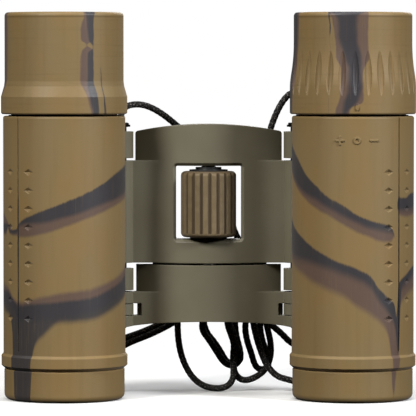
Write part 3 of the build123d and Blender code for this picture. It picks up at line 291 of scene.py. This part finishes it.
# ---- materials ----------------------------------------------------------------------------
class Shader:
    """A material whose node tree is written as expressions: each call adds a node."""

    def __init__(self, name):
        self.material = bpy.data.materials.new(name)
        self.material.use_nodes = True
        self.tree = self.material.node_tree
        self.surface = self.tree.nodes["Principled BSDF"]

    def link(self, value, socket):
        if isinstance(value, bpy.types.NodeSocket):
            self.tree.links.new(value, socket)
        else:
            socket.default_value = value

    def node(self, kind, inputs=(), **settings):
        made = self.tree.nodes.new(kind)
        for name, value in settings.items():
            setattr(made, name, value)
        for index, value in enumerate(inputs):
            if value is not None:
                self.link(value, made.inputs[index])
        return made

    def math(self, operation, a, b=None, c=None):
        return self.node("ShaderNodeMath", (a, b, c), operation=operation).outputs[0]

    def distance(self, place, centre=(0.0, 0.0, 0.0)):
        return self.node("ShaderNodeVectorMath", (place, centre),
                         operation="DISTANCE").outputs["Value"]

    def place(self):
        """The point in the row frame at rest, as x, y and z."""
        self.point = self.node("ShaderNodeTexCoord").outputs["Object"]
        return self.node("ShaderNodeSeparateXYZ", (self.point,)).outputs

    def vector(self, x, y, z):
        return self.node("ShaderNodeCombineXYZ", (x, y, z)).outputs[0]

    def noise(self, vector, scale, detail=2.0, roughness=0.5):
        made = self.node("ShaderNodeTexNoise")
        self.link(vector, made.inputs["Vector"])
        made.inputs["Scale"].default_value = scale
        made.inputs["Detail"].default_value = detail
        made.inputs["Roughness"].default_value = roughness
        return made.outputs["Fac"]

    def ramp(self, factor, low, high):
        """0 below low and 1 above high, smooth between them."""
        made = self.node("ShaderNodeMapRange", interpolation_type="SMOOTHSTEP")
        self.link(factor, made.inputs["Value"])
        made.inputs["From Min"].default_value = low
        made.inputs["From Max"].default_value = high
        return made.outputs["Result"]

    def fall(self, factor, low, high):
        """1 below low and 0 above high."""
        return self.math("SUBTRACT", 1.0, self.ramp(factor, low, high))

    def partly(self, factor, low, high, most):
        """0 below low and most above high."""
        return self.math("MULTIPLY", self.ramp(factor, low, high), most)

    def vary(self, factor, amount, value):
        """A value moved up or down by as much as half the amount, as a 0 to 1 factor says."""
        return self.math("MULTIPLY_ADD", self.math("SUBTRACT", factor, 0.5), amount, value)

    def mix(self, factor, a, b):
        made = self.node("ShaderNodeMix", data_type="RGBA")
        self.link(factor, made.inputs[0])
        for value, socket in ((a, made.inputs[6]), (b, made.inputs[7])):
            if isinstance(value, tuple):
                value = (*value, 1.0)
            self.link(value, socket)
        return made.outputs[2]

    def curve(self, factor, points):
        """A smooth curve through points whose coordinates are from 0 to 1."""
        made = self.node("ShaderNodeFloatCurve")
        made.inputs["Factor"].default_value = 1.0
        self.link(factor, made.inputs["Value"])
        line = made.mapping.curves[0]
        points = sorted(points)
        points = [(0.0, points[0][1]), *points, (1.0, points[-1][1])]
        line.points[0].location, line.points[1].location = points[0], points[-1]
        for x, y in points[1:-1]:
            line.points.new(x, y)
        for point in line.points:
            point.handle_type = "AUTO_CLAMPED"
        made.mapping.update()
        return made.outputs[0]

    def bump(self, height, distance, strength=1.0, normal=None):
        made = self.node("ShaderNodeBump")
        made.inputs["Strength"].default_value = strength
        made.inputs["Distance"].default_value = distance
        self.link(height, made.inputs["Height"])
        if normal is not None:
            self.link(normal, made.inputs["Normal"])
        return made.outputs["Normal"]

    def soft_edges(self, radius):
        """A normal that rounds sharp edges."""
        made = self.node("ShaderNodeBevel", samples=4)
        made.inputs["Radius"].default_value = radius
        return made.outputs["Normal"]

    def set(self, **values):
        for name, value in values.items():
            self.link(value, self.surface.inputs[name.replace("_", " ")])


TAN, TAN_WARM, TAN_OLIVE = (0.226, 0.148, 0.056), (0.228, 0.140, 0.048), (0.212, 0.146, 0.060)
TAN_DARK = (0.140, 0.088, 0.028)
WHEEL_TAN, WHEEL_WORN = (0.150, 0.106, 0.052), (0.178, 0.130, 0.068)
# the colour of the painted shade deep in the focus wheel's grooves
GROOVE_SHADE_TINT = (0.060, 0.038, 0.016)
INK, UMBER = (0.030, 0.030, 0.036), (0.098, 0.060, 0.053)
COVER = {INK: 0.93, UMBER: 0.86}     # how well each paint hides the rubber
OLIVE, OLIVE_DARK = (0.158, 0.143, 0.097), (0.137, 0.123, 0.081)
ARM_OLIVE, ARM_OLIVE_DARK = (0.156, 0.141, 0.095), (0.130, 0.117, 0.077)
ARM_BLACK, ARM_BLACK_DARK = (0.05, 0.05, 0.055), (0.035, 0.035, 0.04)
ARM_FROM = 12.4 * MM                 # a lens cell's arm is olive beyond this radius
FACING = {"left": 2.25, "right": -2.25}     # where a barrel's own zero of angle is, in degrees
BARREL_AXIS_X = {side: middle(f"{side}_armour").x for side in ("left", "right")}
HIGH = 100 * MM                      # the height that a stripe's curve calls 1
CUP_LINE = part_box("left_eyecup")[1].z - 1.15 * MM     # a darker broken line just under the cups' rims
SEAM = 46.2                          # where the barrels' seam is, in degrees
SEAM_INK_LOW, SEAM_INK_HIGH = (12 * MM, 20 * MM), (48 * MM, 54 * MM)  # where its paint fades
GROOVE_SHADE_DEPTHS = (0.38 * MM, 0.02 * MM)      # how far below the wheel's ribs the painted shade in the grooves fades out
CUP_LINE_HALF = (0.08 * MM, 0.3 * MM)     # half the line's width, where it fades
RUBBER_EDGE, PLASTIC_EDGE, METAL_EDGE, ARM_EDGE = 0.22 * MM, 0.35 * MM, 0.12 * MM, 0.2 * MM
SPREAD_UP, SPREAD_DOWN, SPREAD_ROUND = 2.0, 2.2, 1.5  # a painted edge's width over its softness


def around(points):
    """(degrees, millimetres) points as a curve of height over the turn round a barrel."""
    return [(angle / 360 + 0.5, height * MM / HIGH) for angle, height in points]


def upward(points):
    """(millimetres, degrees) points as a curve of the turn over the height."""
    return [(height * MM / HIGH, angle / 360 + 0.5) for height, angle in points]


# Stripes brushed round each barrel: colour, upper edge, lower edge, softness of each in mm.
LEFT_STRIPES = [
    (UMBER, [(-180, 57), (-150, 52.5), (-115, 48), (-88, 46), (-74, 44.8), (-66, 43.4),
             (-60, 41.9), (-52, 41.8), (-46, 43.4), (-30, 45.4), (6, 49), (38, 52.8),
             (60, 55.4), (79, 57), (110, 59.5), (150, 60.5), (180, 57)],
     [(-180, 50), (-150, 46), (-115, 43), (-88, 41.6), (-78, 40.8), (-72, 40.7), (-67, 42.2),
      (-62, 41), (-52, 40.6), (-46, 40.2), (-22, 41), (6, 43.3), (38, 46.2), (60, 48),
      (79, 49.3), (110, 51), (150, 52), (180, 50)], 0.3, 0.45),
    (INK, [(-180, 57), (-150, 52.5), (-115, 47), (-88, 43.2), (-74, 43.2), (-66, 43.0),
           (-60, 41.7), (-52, 41.8), (-46, 43.7), (-30, 45.7), (-12, 47.4), (6, 49.3),
           (22, 51), (38, 53), (60, 55.8), (79, 57.2), (110, 59.5), (150, 60.5), (180, 57)],
     [(-180, 52), (-150, 47.5), (-115, 43.6), (-88, 41.8), (-78, 40.9), (-72, 40.8),
      (-67, 42.3), (-62, 41), (-52, 40.8), (-47, 42.8), (-22, 43.7), (6, 45.4), (38, 48.1),
      (60, 49.5), (79, 50.6), (110, 52.4), (150, 53.5), (180, 52)], 0.35, 0.7),
    (UMBER, [(-180, 34), (-150, 31), (-115, 29.4), (-88, 28.4), (-66, 27.6), (-54, 25),
             (-46, 24.4), (-27, 25.4), (-10, 26.4), (9, 27.1), (30, 27.9), (50, 29.5),
             (70, 31.4), (85, 33), (120, 36.5), (150, 36.5), (180, 34)],
     [(-180, 27), (-150, 25.5), (-115, 24.5), (-88, 24), (-66, 24), (-54, 22), (-46, 20),
      (-27, 20), (50, 24), (85, 27), (120, 30), (150, 30), (180, 27)], 0.7, 1.0),
    (INK, [(-180, 32.5), (-150, 29.5), (-115, 28), (-88, 27), (-66, 26.8), (-55, 24.6),
           (-47, 23.6), (-32, 23.9), (0, 24.8), (30, 25.8), (50, 27.7), (70, 29.4),
           (85, 31), (120, 34.5), (150, 34.5), (180, 32.5)],
     [(-180, 27.5), (-150, 25.5), (-115, 24), (-88, 23.4), (-75, 22), (-62, 20.6), (-57, 14),
      (-55, -2), (-36, -2), (-33.5, 6), (-31, 12), (-27, 14.8), (-19, 16.8), (-12, 18.6),
      (-6, 19.6), (9, 19.8), (30, 20.5), (50, 22.4), (70, 24.4), (85, 26), (120, 29.5),
      (150, 29.8), (180, 27.5)], 0.6, 0.95)]
RIGHT_STRIPES = [
    (UMBER, [(-180, 58), (-150, 62), (-120, 65), (-90, 63.3), (-65, 59), (-50, 55),
             (-25, 49.8), (3, 45.5), (17, 44), (32, 43), (38, 42.6), (42, 40.9), (44, 39.6),
             (46, 47), (48, 49.6), (58, 49.4), (66, 50.2), (80, 50.6), (115, 52), (150, 55),
             (180, 58)],
     [(-180, 51.5), (-150, 55.5), (-120, 58.5), (-90, 56.8), (-70, 53), (-54, 50),
      (-37, 47.3), (-20, 45.1), (-5, 42.8), (13, 40.6), (32, 39.1), (38, 39.2), (42, 40.3),
      (44, 40.6), (46, 47.4), (48, 46), (58, 45.1), (80, 45.4), (115, 46.5), (150, 49),
      (180, 51.5)], 0.3, 0.5),
    (INK, [(-180, 58), (-150, 62), (-120, 65), (-90, 63.3), (-65, 59.4), (-50, 55.4),
           (-37, 52.7), (-25, 50.2), (-10, 48.1), (3, 45.8), (17, 44.2), (32, 43.3),
           (38, 42.7), (42, 41.1), (44, 39.8), (46, 47.2), (48, 49.9), (58, 49.5),
           (66, 50.3), (80, 50.7), (115, 52), (150, 55), (180, 58)],
     [(-180, 53.5), (-150, 57.5), (-120, 60), (-90, 57.6), (-70, 53.9), (-54, 51.2),
      (-37, 49.2), (-20, 46.9), (-5, 44.9), (13, 42.7), (32, 41.6), (38, 41.4), (42, 40.8),
      (44, 40.7), (46, 47.5), (48, 46.8), (58, 46.5), (80, 46.8), (115, 48), (150, 51),
      (180, 53.5)], 0.35, 0.9),
    (UMBER, [(-180, 39), (-150, 42), (-120, 45.4), (-90, 44.6), (-70, 41.8), (-54, 39.4),
             (-34, 36.6), (-15, 34.1), (6, 32.2), (18, 30.2), (24, 28), (31, 26),
             (39, 24.6), (43, 23.6), (45.5, 20.5), (47, 27.6), (50, 29), (62, 31),
             (76, 32.4), (120, 35.5), (150, 37), (180, 39)],
     [(-180, 33), (-150, 35), (-120, 36.5), (-90, 34.8), (-68, 32.6), (-54, 31), (-41, 29.4),
      (-24, 27.6), (-8, 26), (4, 23.6), (17, 21.6), (27, 19.6), (34, 17.2), (38, 13),
      (40.5, 7), (42, 1.5), (44.5, 5.2), (48, 9.6), (49.6, 14.4), (51, 23.6), (58, 25.5),
      (76, 27.1), (120, 29.5), (150, 31), (180, 33)], 0.4, 1.15),
    (INK, [(-180, 39), (-150, 42), (-120, 45.4), (-90, 45), (-70, 42.1), (-54, 39.7),
           (-34, 36.8), (-15, 34.4), (6, 32.4), (18, 30.5), (24, 28.2), (31, 26.3),
           (39, 24.8), (43, 23.7), (45.5, 20.7), (47, 27.9), (50, 29.3), (62, 31.2),
           (76, 32.6), (120, 35.7), (150, 37), (180, 39)],
     [(-180, 35), (-150, 37), (-120, 39), (-90, 37), (-70, 35), (-54, 34.4), (-34, 33.4),
      (-15, 31.8), (6, 29.8), (18, 27.8), (24, 25.2), (31, 23.2), (39, 20.6), (43, 18.8),
      (45.5, 16), (47, 12), (50, 17), (52, 27), (62, 28.8), (76, 30.2), (120, 32.6),
      (150, 33.6), (180, 35)], 0.4, 1.3)]
# Stripes brushed up each eyecup: colour, left edge, right edge, softness of each in degrees.
LEFT_CUP_STRIPES = [
    (UMBER, [(69, 26.2), (71, 24.7), (75, 20.2), (78.5, 15.2), (82, 15.7), (85.4, 17.2),
             (86.6, 22.2), (87.8, 16.2), (90, 15.9), (92, 17.2), (93.6, 19.2), (95, 19.2)],
     [(69, 32.2), (71, 32.2), (75, 30.7), (78.5, 28.8), (85.4, 28.8), (86.6, 22.6), (87.8, 28.8),
      (93.6, 29.2), (95, 31.2)], 1.4, 1.0),
    (INK, [(69, 28.2), (71, 26.7), (75, 23.2), (78.5, 22.6), (84.8, 23.8), (86, 28.8),
           (87.6, 24.7), (90, 23.2), (93.6, 21.8), (95, 20.2)],
     [(69, 33.2), (71, 32.8), (75, 31.2), (78.5, 29.2), (84.8, 29.2), (86, 29), (87.6, 29.2),
      (93.6, 29.6), (95, 32.2)], 1.8, 1.0),
    (INK, [(69, 39), (75, 38.2), (80, 37), (82, 37.6)],
     [(69, 41.4), (75, 39.2), (80, 37.8), (82, 37.5)], 0.5, 0.5),
    (UMBER, [(69, -98), (95, -92)], [(69, -80), (75, -79), (79, -72), (95, -71)], 4, 1.2),
    (INK, [(69, 112), (80, 118), (95, 108)], [(69, 150), (80, 139), (95, 146)], 5, 6)]
RIGHT_CUP_STRIPES = [
    (UMBER, [(69, -15.6), (71, -15.4), (73, -13), (75, -11.4), (81, -11.6), (83.5, -15.6),
             (88, -17), (92, -20), (93.4, -21), (95, -24)],
     [(69, -3.4), (70.6, -3), (71.8, -0.5), (72.6, 8), (74.4, 10), (76, 9), (80, 9.3),
      (82, 12.4), (83.6, 15.6), (88, 14.4), (95, 15)], 1.1, 1.2),
    (INK, [(69, -9), (73, -8), (75.6, -4.5), (80, -4), (84, -8), (88, -13), (93.4, -16),
           (95, -22)],
     [(69, -5), (70.6, -4), (73, 4), (76, 8), (80, 8.2), (84, 8), (88, 4), (93.4, 4),
      (95, 12)], 3.5, 3.5),
    (INK, [(88.4, -22.6), (90, -23.3), (93.4, -24.2), (95, -25)],
     [(88.4, -22.5), (90, -22), (93.4, -22.6), (95, -22)], 0.5, 0.5),
    (UMBER, [(69, -98), (95, -98)], [(69, -73.5), (75, -72), (80, -70), (88, -66), (95, -65)],
     4, 1.2),
    (INK, [(69, -98), (95, -98)], [(69, -77), (75, -75.5), (80, -74), (88, -70), (95, -69)],
     4, 2.5),
    (INK, [(69, 118), (80, 108), (95, 112)], [(69, 142), (80, 150), (95, 152)], 5, 6)]


def within(shader, value, low, high, soft_low, soft_high):
    """1 where a value is between two others, with soft edges."""
    above = shader.math("DIVIDE", shader.math("SUBTRACT", value, low), soft_low)
    below = shader.math("DIVIDE", shader.math("SUBTRACT", high, value), soft_high)
    above = shader.ramp(above, -0.5, 0.5)
    below = shader.ramp(below, -0.5, 0.5)
    return shader.math("MULTIPLY", above, below)


def camo_rubber(name, side, stripes, vertical=False):
    """Tan rubber clouded with browns, with stripes of thin black and umber paint on it."""
    shader = Shader(name)
    x, y, z = shader.place()
    centred = shader.math("SUBTRACT", x, BARREL_AXIS_X[side])
    angle = shader.math("ARCTAN2", centred, shader.math("MULTIPLY", y, -1.0))
    turn = shader.math("ADD", shader.math("DIVIDE", angle, 2 * math.pi),
                       0.5 - FACING[side] / 360)
    height = shader.math("DIVIDE", z, HIGH)

    def stretched(per_turn, per_height, seed, detail=2.0, roughness=0.5):
        """Noise with this much change in one turn, and over the height that counts as 1."""
        where = shader.vector(shader.math("MULTIPLY", turn, per_turn),
                              shader.math("MULTIPLY", height, per_height), seed)
        return shader.noise(where, 1.0, detail, roughness)

    wobble = shader.noise(shader.point, 330, 2.0, 0.5)
    streak = stretched(260.0, 9.0, 0.0, 3.0, 0.6)
    turn_worn = shader.vary(wobble, 0.006, turn)
    height_worn = shader.vary(streak, 0.006, shader.vary(wobble, 0.005, height))

    cloud = shader.noise(shader.point, 38, 3.0, 0.55)
    hue = stretched(12.0, 9.0, 7.0)
    flow = stretched(60.0, 3.0, 4.0)
    colour = shader.mix(shader.ramp(cloud, 0.3, 0.7), TAN, TAN_OLIVE)
    colour = shader.mix(shader.partly(hue, 0.42, 0.7, 0.6), colour, TAN_WARM)
    colour = shader.mix(shader.partly(flow, 0.45, 0.85, 0.22), colour, TAN_DARK)
    if vertical:
        rings = stretched(5.0, 140.0, 2.0)
        colour = shader.mix(shader.partly(rings, 0.5, 0.8, 0.3), colour, TAN_DARK)
        # a darker line just under each cup's rim, broken up by the rings noise
        from_line = shader.math("ABSOLUTE", shader.math("SUBTRACT", z, CUP_LINE))
        rim = shader.fall(from_line, *CUP_LINE_HALF)
        broken_rim_line = shader.math("MULTIPLY", rim, shader.ramp(rings, 0.2, 0.6))
        colour = shader.mix(shader.math("MULTIPLY", broken_rim_line, 0.9), colour, TAN_DARK)
    thin = shader.math("MULTIPLY_ADD", shader.ramp(streak, 0.5, 0.8), -0.3, 1.0)
    painted = 0.0
    for tint, first, second, soft_first, soft_second in stripes:
        if vertical:
            low, high = shader.curve(height, upward(first)), shader.curve(height, upward(second))
            mask = within(shader, turn_worn, low, high, SPREAD_ROUND * soft_first / 360,
                          SPREAD_ROUND * soft_second / 360)
        else:
            high, low = shader.curve(turn, around(first)), shader.curve(turn, around(second))
            mask = within(shader, height_worn, low, high, SPREAD_DOWN * soft_second * MM / HIGH,
                          SPREAD_UP * soft_first * MM / HIGH)
        mask = shader.math("MULTIPLY", shader.math("MULTIPLY", mask, thin), COVER[tint])
        colour = shader.mix(mask, colour, tint)
        painted = shader.math("MAXIMUM", painted, mask)
    return shader, colour, painted, angle


def finish_rubber(shader, colour, painted):
    """The rubber's grain, sheen and gloss, and the paint's slightly smoother film."""
    grain = shader.noise(shader.point, 5200, 2.0, 0.6)
    pores = shader.noise(shader.point, 1700, 2.0, 0.5)
    relief = shader.math("MULTIPLY_ADD", pores, 0.6, grain)
    rough = shader.math("MULTIPLY_ADD", painted, -0.07, 0.55)
    rough = shader.vary(pores, 0.12, rough)
    shader.set(Base_Color=colour, Roughness=rough, Specular_IOR_Level=0.4,
               Sheen_Weight=0.10, Sheen_Roughness=0.5,
               Normal=shader.bump(relief, 0.03 * MM, 0.5, shader.soft_edges(RUBBER_EDGE)))
    return shader.material


def barrel_rubber(side, stripes):
    """The barrel's camouflage, with paint wicked along the seam."""
    shader, colour, painted, angle = camo_rubber(f"camo_{side}_barrel", side, stripes)
    seam = math.radians(-SEAM if side == "left" else SEAM)
    _, _, z = shader.node("ShaderNodeSeparateXYZ", (shader.point,)).outputs
    away = shader.math("ABSOLUTE", shader.math("SUBTRACT", angle, seam))
    spread = shader.math("MULTIPLY_ADD", shader.noise(shader.point, 90, 1.0), 0.030, 0.002)
    line = shader.fall(shader.math("DIVIDE", away, spread), 0.4, 1.1)
    reach = shader.math("MULTIPLY", shader.ramp(z, *SEAM_INK_LOW), shader.fall(z, *SEAM_INK_HIGH))
    wicked = shader.math("MULTIPLY", shader.math("MULTIPLY", line, reach), 0.9)
    colour = shader.mix(wicked, colour, INK)
    return finish_rubber(shader, colour, shader.math("MAXIMUM", painted, wicked))


def cup_rubber(side, stripes):
    shader, colour, painted, _ = camo_rubber(f"camo_{side}_eyecup", side, stripes, vertical=True)
    return finish_rubber(shader, colour, painted)


def wheel_rubber():
    """Tan rubber with painted shade darkening its grooves."""
    shader = Shader("wheel_rubber")
    x, y, z = shader.place()
    low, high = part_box("focus_wheel_grip")
    centre = middle("focus_wheel_grip")
    radius = (high.x - low.x) / 2
    from_axis = shader.distance(shader.vector(x, y, 0.0), (centre.x, centre.y, 0.0))
    worn = shader.noise(shader.point, 700, 3.0, 0.6)
    colour = shader.mix(shader.ramp(worn, 0.35, 0.7), WHEEL_TAN, WHEEL_WORN)
    # painted shade: the rubber turns darker deep in the grooves, below the ribs' tops
    unshaded = shader.ramp(from_axis, *(radius - depth for depth in GROOVE_SHADE_DEPTHS))
    colour = shader.mix(unshaded, GROOVE_SHADE_TINT, colour)
    top = shader.partly(z, high.z - 1.4 * MM, high.z - 0.2 * MM, 0.25)
    colour = shader.mix(top, colour, TAN_DARK)
    return finish_rubber(shader, colour, 0.0)


def moulded_plastic(name, light, dark, roughness):
    """Satin moulded plastic: fine spark texture, faint flow marks and soft edges."""
    shader = Shader(name)
    shader.place()
    flow = shader.noise(shader.point, 60, 3.0, 0.55)
    spark = shader.noise(shader.point, 4200, 2.0, 0.6)
    rub = shader.noise(shader.point, 300, 4.0, 0.65)
    colour = shader.mix(shader.ramp(flow, 0.3, 0.7), dark, light)
    rough = shader.vary(rub, 0.14, roughness)
    shader.set(Base_Color=colour, Roughness=rough, Specular_IOR_Level=0.42,
               Normal=shader.bump(spark, 0.02 * MM, 0.45, shader.soft_edges(PLASTIC_EDGE)))
    return shader.material


def turned_metal(name, light, dark, roughness):
    """Metal with fine turning marks."""
    shader = Shader(name)
    _, _, z = shader.place()
    marks = shader.noise(shader.vector(0.0, 0.0, z), 9000, 1.0)
    stain = shader.noise(shader.point, 260, 3.0, 0.6)
    rough = shader.vary(stain, 0.2, roughness)
    shader.set(Base_Color=shader.mix(shader.ramp(stain, 0.3, 0.75), light, dark),
               Roughness=rough, Metallic=1.0,
               Normal=shader.bump(marks, 0.006 * MM, 0.4, shader.soft_edges(METAL_EDGE)))
    return shader.material


def cell_finish(side):
    """Black inside the barrel and olive on the arm that shows outside it."""
    shader = Shader(f"{side}_cell_finish")
    x, y, _ = shader.place()
    reach = shader.distance(shader.vector(x, y, 0.0), (BARREL_AXIS_X[side], 0.0, 0.0))
    worn = shader.noise(shader.point, 300, 3.0, 0.6)
    inside = shader.mix(worn, ARM_BLACK, ARM_BLACK_DARK)
    outside = shader.mix(worn, ARM_OLIVE, ARM_OLIVE_DARK)
    rough = shader.math("MULTIPLY_ADD", worn, 0.12, 0.44)
    beyond = shader.ramp(reach, ARM_FROM - 0.1 * MM, ARM_FROM + 0.1 * MM)
    shader.set(Base_Color=shader.mix(beyond, inside, outside), Roughness=rough,
               Normal=shader.soft_edges(ARM_EDGE))
    return shader.material


COAT_TINT = (0.55, 0.5, 0.95, 1)


def coated_glass(name, coat_light, coat_dark):
    """Lens glass with a blue-violet coating that varies gently across the face."""
    shader = Shader(name)
    shader.place()
    film = shader.noise(shader.point, 35, 1.0)
    shader.set(Base_Color=shader.mix(film, coat_light, coat_dark), Roughness=0.03,
               IOR=1.52, Transmission_Weight=0.85, Specular_IOR_Level=0.5,
               Coat_Weight=0.6, Coat_Tint=COAT_TINT)
    return shader.material


BRAID_BLACK, BRAID_FLECK = (0.007, 0.0065, 0.006), (0.20, 0.185, 0.17)
BRAID_DUST = (0.05, 0.046, 0.042)


def braid_fibre():
    """Black polyester braid with single grey fibres that catch the light."""
    shader = Shader("braided_cord")
    uv = shader.node("ShaderNodeUVMap", uv_map="braid").outputs[0]
    u, v, _ = shader.node("ShaderNodeSeparateXYZ", (uv,)).outputs
    round_cord = shader.math("MULTIPLY", u, float(BRAID_STRANDS))
    slant = BRAID_STRANDS / BRAID_PITCH / UV_PER_METRE
    first = shader.math("MULTIPLY_ADD", v, slant, round_cord)
    second = shader.math("MULTIPLY_ADD", v, -slant, round_cord)
    fibres = shader.noise(shader.vector(shader.math("MULTIPLY", first, 2.1),
                                        shader.math("MULTIPLY", second, 2.1), 0.0), 1.0, 2.0, 0.6)
    fleck = shader.partly(fibres, 0.53, 0.66, 0.85)
    shader.place()
    dust = shader.noise(shader.point, 900, 2.0, 0.6)
    colour = shader.mix(fleck, BRAID_BLACK, BRAID_FLECK)
    colour = shader.mix(shader.partly(dust, 0.5, 0.9, 0.1), colour, BRAID_DUST)
    shader.set(Base_Color=colour, Roughness=0.78, Specular_IOR_Level=0.25, Sheen_Weight=0.12,
               Sheen_Roughness=0.4, Normal=shader.bump(fibres, 0.03 * MM, 0.5))
    return shader.material


BY_SLOT = {
    "olive_plastic": moulded_plastic("olive_plastic", OLIVE, OLIVE_DARK, 0.47),
    "black_plastic": moulded_plastic("black_plastic", (0.016, 0.016, 0.017),
                                     (0.011, 0.011, 0.012), 0.42),
    "black_metal": turned_metal("black_metal", (0.045, 0.045, 0.048), (0.02, 0.02, 0.022), 0.38),
    "black_rubber": moulded_plastic("black_rubber", (0.02, 0.02, 0.02), (0.012, 0.012, 0.012),
                                    0.7),
    "bearing_brass": turned_metal("bearing_brass", (0.62, 0.45, 0.18), (0.45, 0.31, 0.12), 0.3),
    "spring_steel": turned_metal("spring_steel", (0.52, 0.52, 0.52), (0.4, 0.4, 0.41), 0.3),
    "cell_aluminium": turned_metal("cell_aluminium", (0.06, 0.06, 0.065), (0.04, 0.04, 0.045),
                                   0.4),
    "lens_glass": coated_glass("lens_glass", (0.86, 0.88, 1.0), (0.74, 0.76, 0.98)),
    "prism_glass": coated_glass("prism_glass", (0.95, 0.97, 0.95), (0.9, 0.93, 0.9)),
    "braided_cord": braid_fibre(),
}
LEFT_RUBBER = barrel_rubber("left", LEFT_STRIPES)
RIGHT_RUBBER = barrel_rubber("right", RIGHT_STRIPES)
BY_NODE = {
    "left_armour": LEFT_RUBBER, "left_objective_ring": LEFT_RUBBER,
    "right_armour": RIGHT_RUBBER, "right_objective_ring": RIGHT_RUBBER,
    "left_eyecup": cup_rubber("left", LEFT_CUP_STRIPES),
    "right_eyecup": cup_rubber("right", RIGHT_CUP_STRIPES),
    "focus_wheel_grip": wheel_rubber(),
    "left_lens_cell": cell_finish("left"), "right_lens_cell": cell_finish("right"),
}


def paint(piece, material):
    piece.data.materials.clear()
    piece.data.materials.append(material)


for subpart in frame["record"]["subparts"]:
    node = frame["nodes"][subpart["node"]]
    paint(node, BY_NODE.get(subpart["node"]) or BY_SLOT[subpart["material_slot"]])
paint(neck_cord, BY_SLOT["braided_cord"])
paint(cord_tie, BY_SLOT["black_rubber"])


# ---- light and floor ----------------------------------------------------------------------
LIGHT_AIM = Vector((0, 0, 0.05))     # in metres, like the lights' places and sizes


def area_light(name, place, size, power, colour=(1, 1, 1)):
    data = bpy.data.lights.new(name, "AREA")
    data.shape, data.size, data.energy, data.color = "DISK", size, power, colour
    light = bpy.data.objects.new(name, data)
    light.location = place
    light.rotation_euler = (LIGHT_AIM - Vector(place)).to_track_quat("-Z", "Y").to_euler()
    bpy.context.scene.collection.objects.link(light)


area_light("left_softbox", (-0.75, -0.95, 0.95), 0.4, 20.0, (1.0, 0.985, 0.95))
area_light("right_softbox", (1.15, -0.8, 0.8), 0.4, 24.0, (0.97, 0.985, 1.0))
area_light("front_softbox", (0.0, -1.5, 1.2), 0.5, 3.5)
area_light("top_light", (0.0, -0.1, 1.3), 0.6, 7.0)
area_light("back_light", (0.3, 1.3, 0.7), 0.8, 8.0)

world = bpy.data.worlds.new("studio")
world.use_nodes = True
background = world.node_tree.nodes["Background"]
background.inputs["Color"].default_value = (1, 1, 1, 1)
background.inputs["Strength"].default_value = 1.0
world.cycles_visibility.diffuse = False      # the white surroundings don't flatten the light
world.cycles_visibility.glossy = False
bpy.context.scene.world = world


FLOOR_RADIUS = 1.6
FADE_FROM, FADE_TO = 0.03, 0.17      # where the floor turns clear, from its middle


def make_floor():
    """A pale round floor that fades into the white surroundings."""
    bpy.ops.mesh.primitive_circle_add(vertices=96, radius=FLOOR_RADIUS, fill_type="NGON")
    floor = bpy.context.object
    floor.name = "floor"
    floor.visible_diffuse = False          # a matt stage: it throws no light back up
    floor.visible_glossy = False
    shader = Shader("pale_floor")
    x, y, _ = shader.place()
    tone = shader.noise(shader.point, 3, 2.0)
    shader.set(Base_Color=shader.mix(tone, (0.88, 0.88, 0.88), (0.9, 0.9, 0.9)),
               Roughness=0.85, Specular_IOR_Level=0.1)
    reach = shader.distance(shader.vector(x, y, 0.0))
    clear = shader.node("ShaderNodeBsdfTransparent").outputs[0]
    blend = shader.node("ShaderNodeMixShader", (shader.ramp(reach, FADE_FROM, FADE_TO),
                        shader.surface.outputs[0], clear)).outputs[0]
    shader.link(blend, shader.tree.nodes["Material Output"].inputs["Surface"])
    paint(floor, shader.material)


make_floor()
bpy.context.scene.view_settings.view_transform = "Standard"
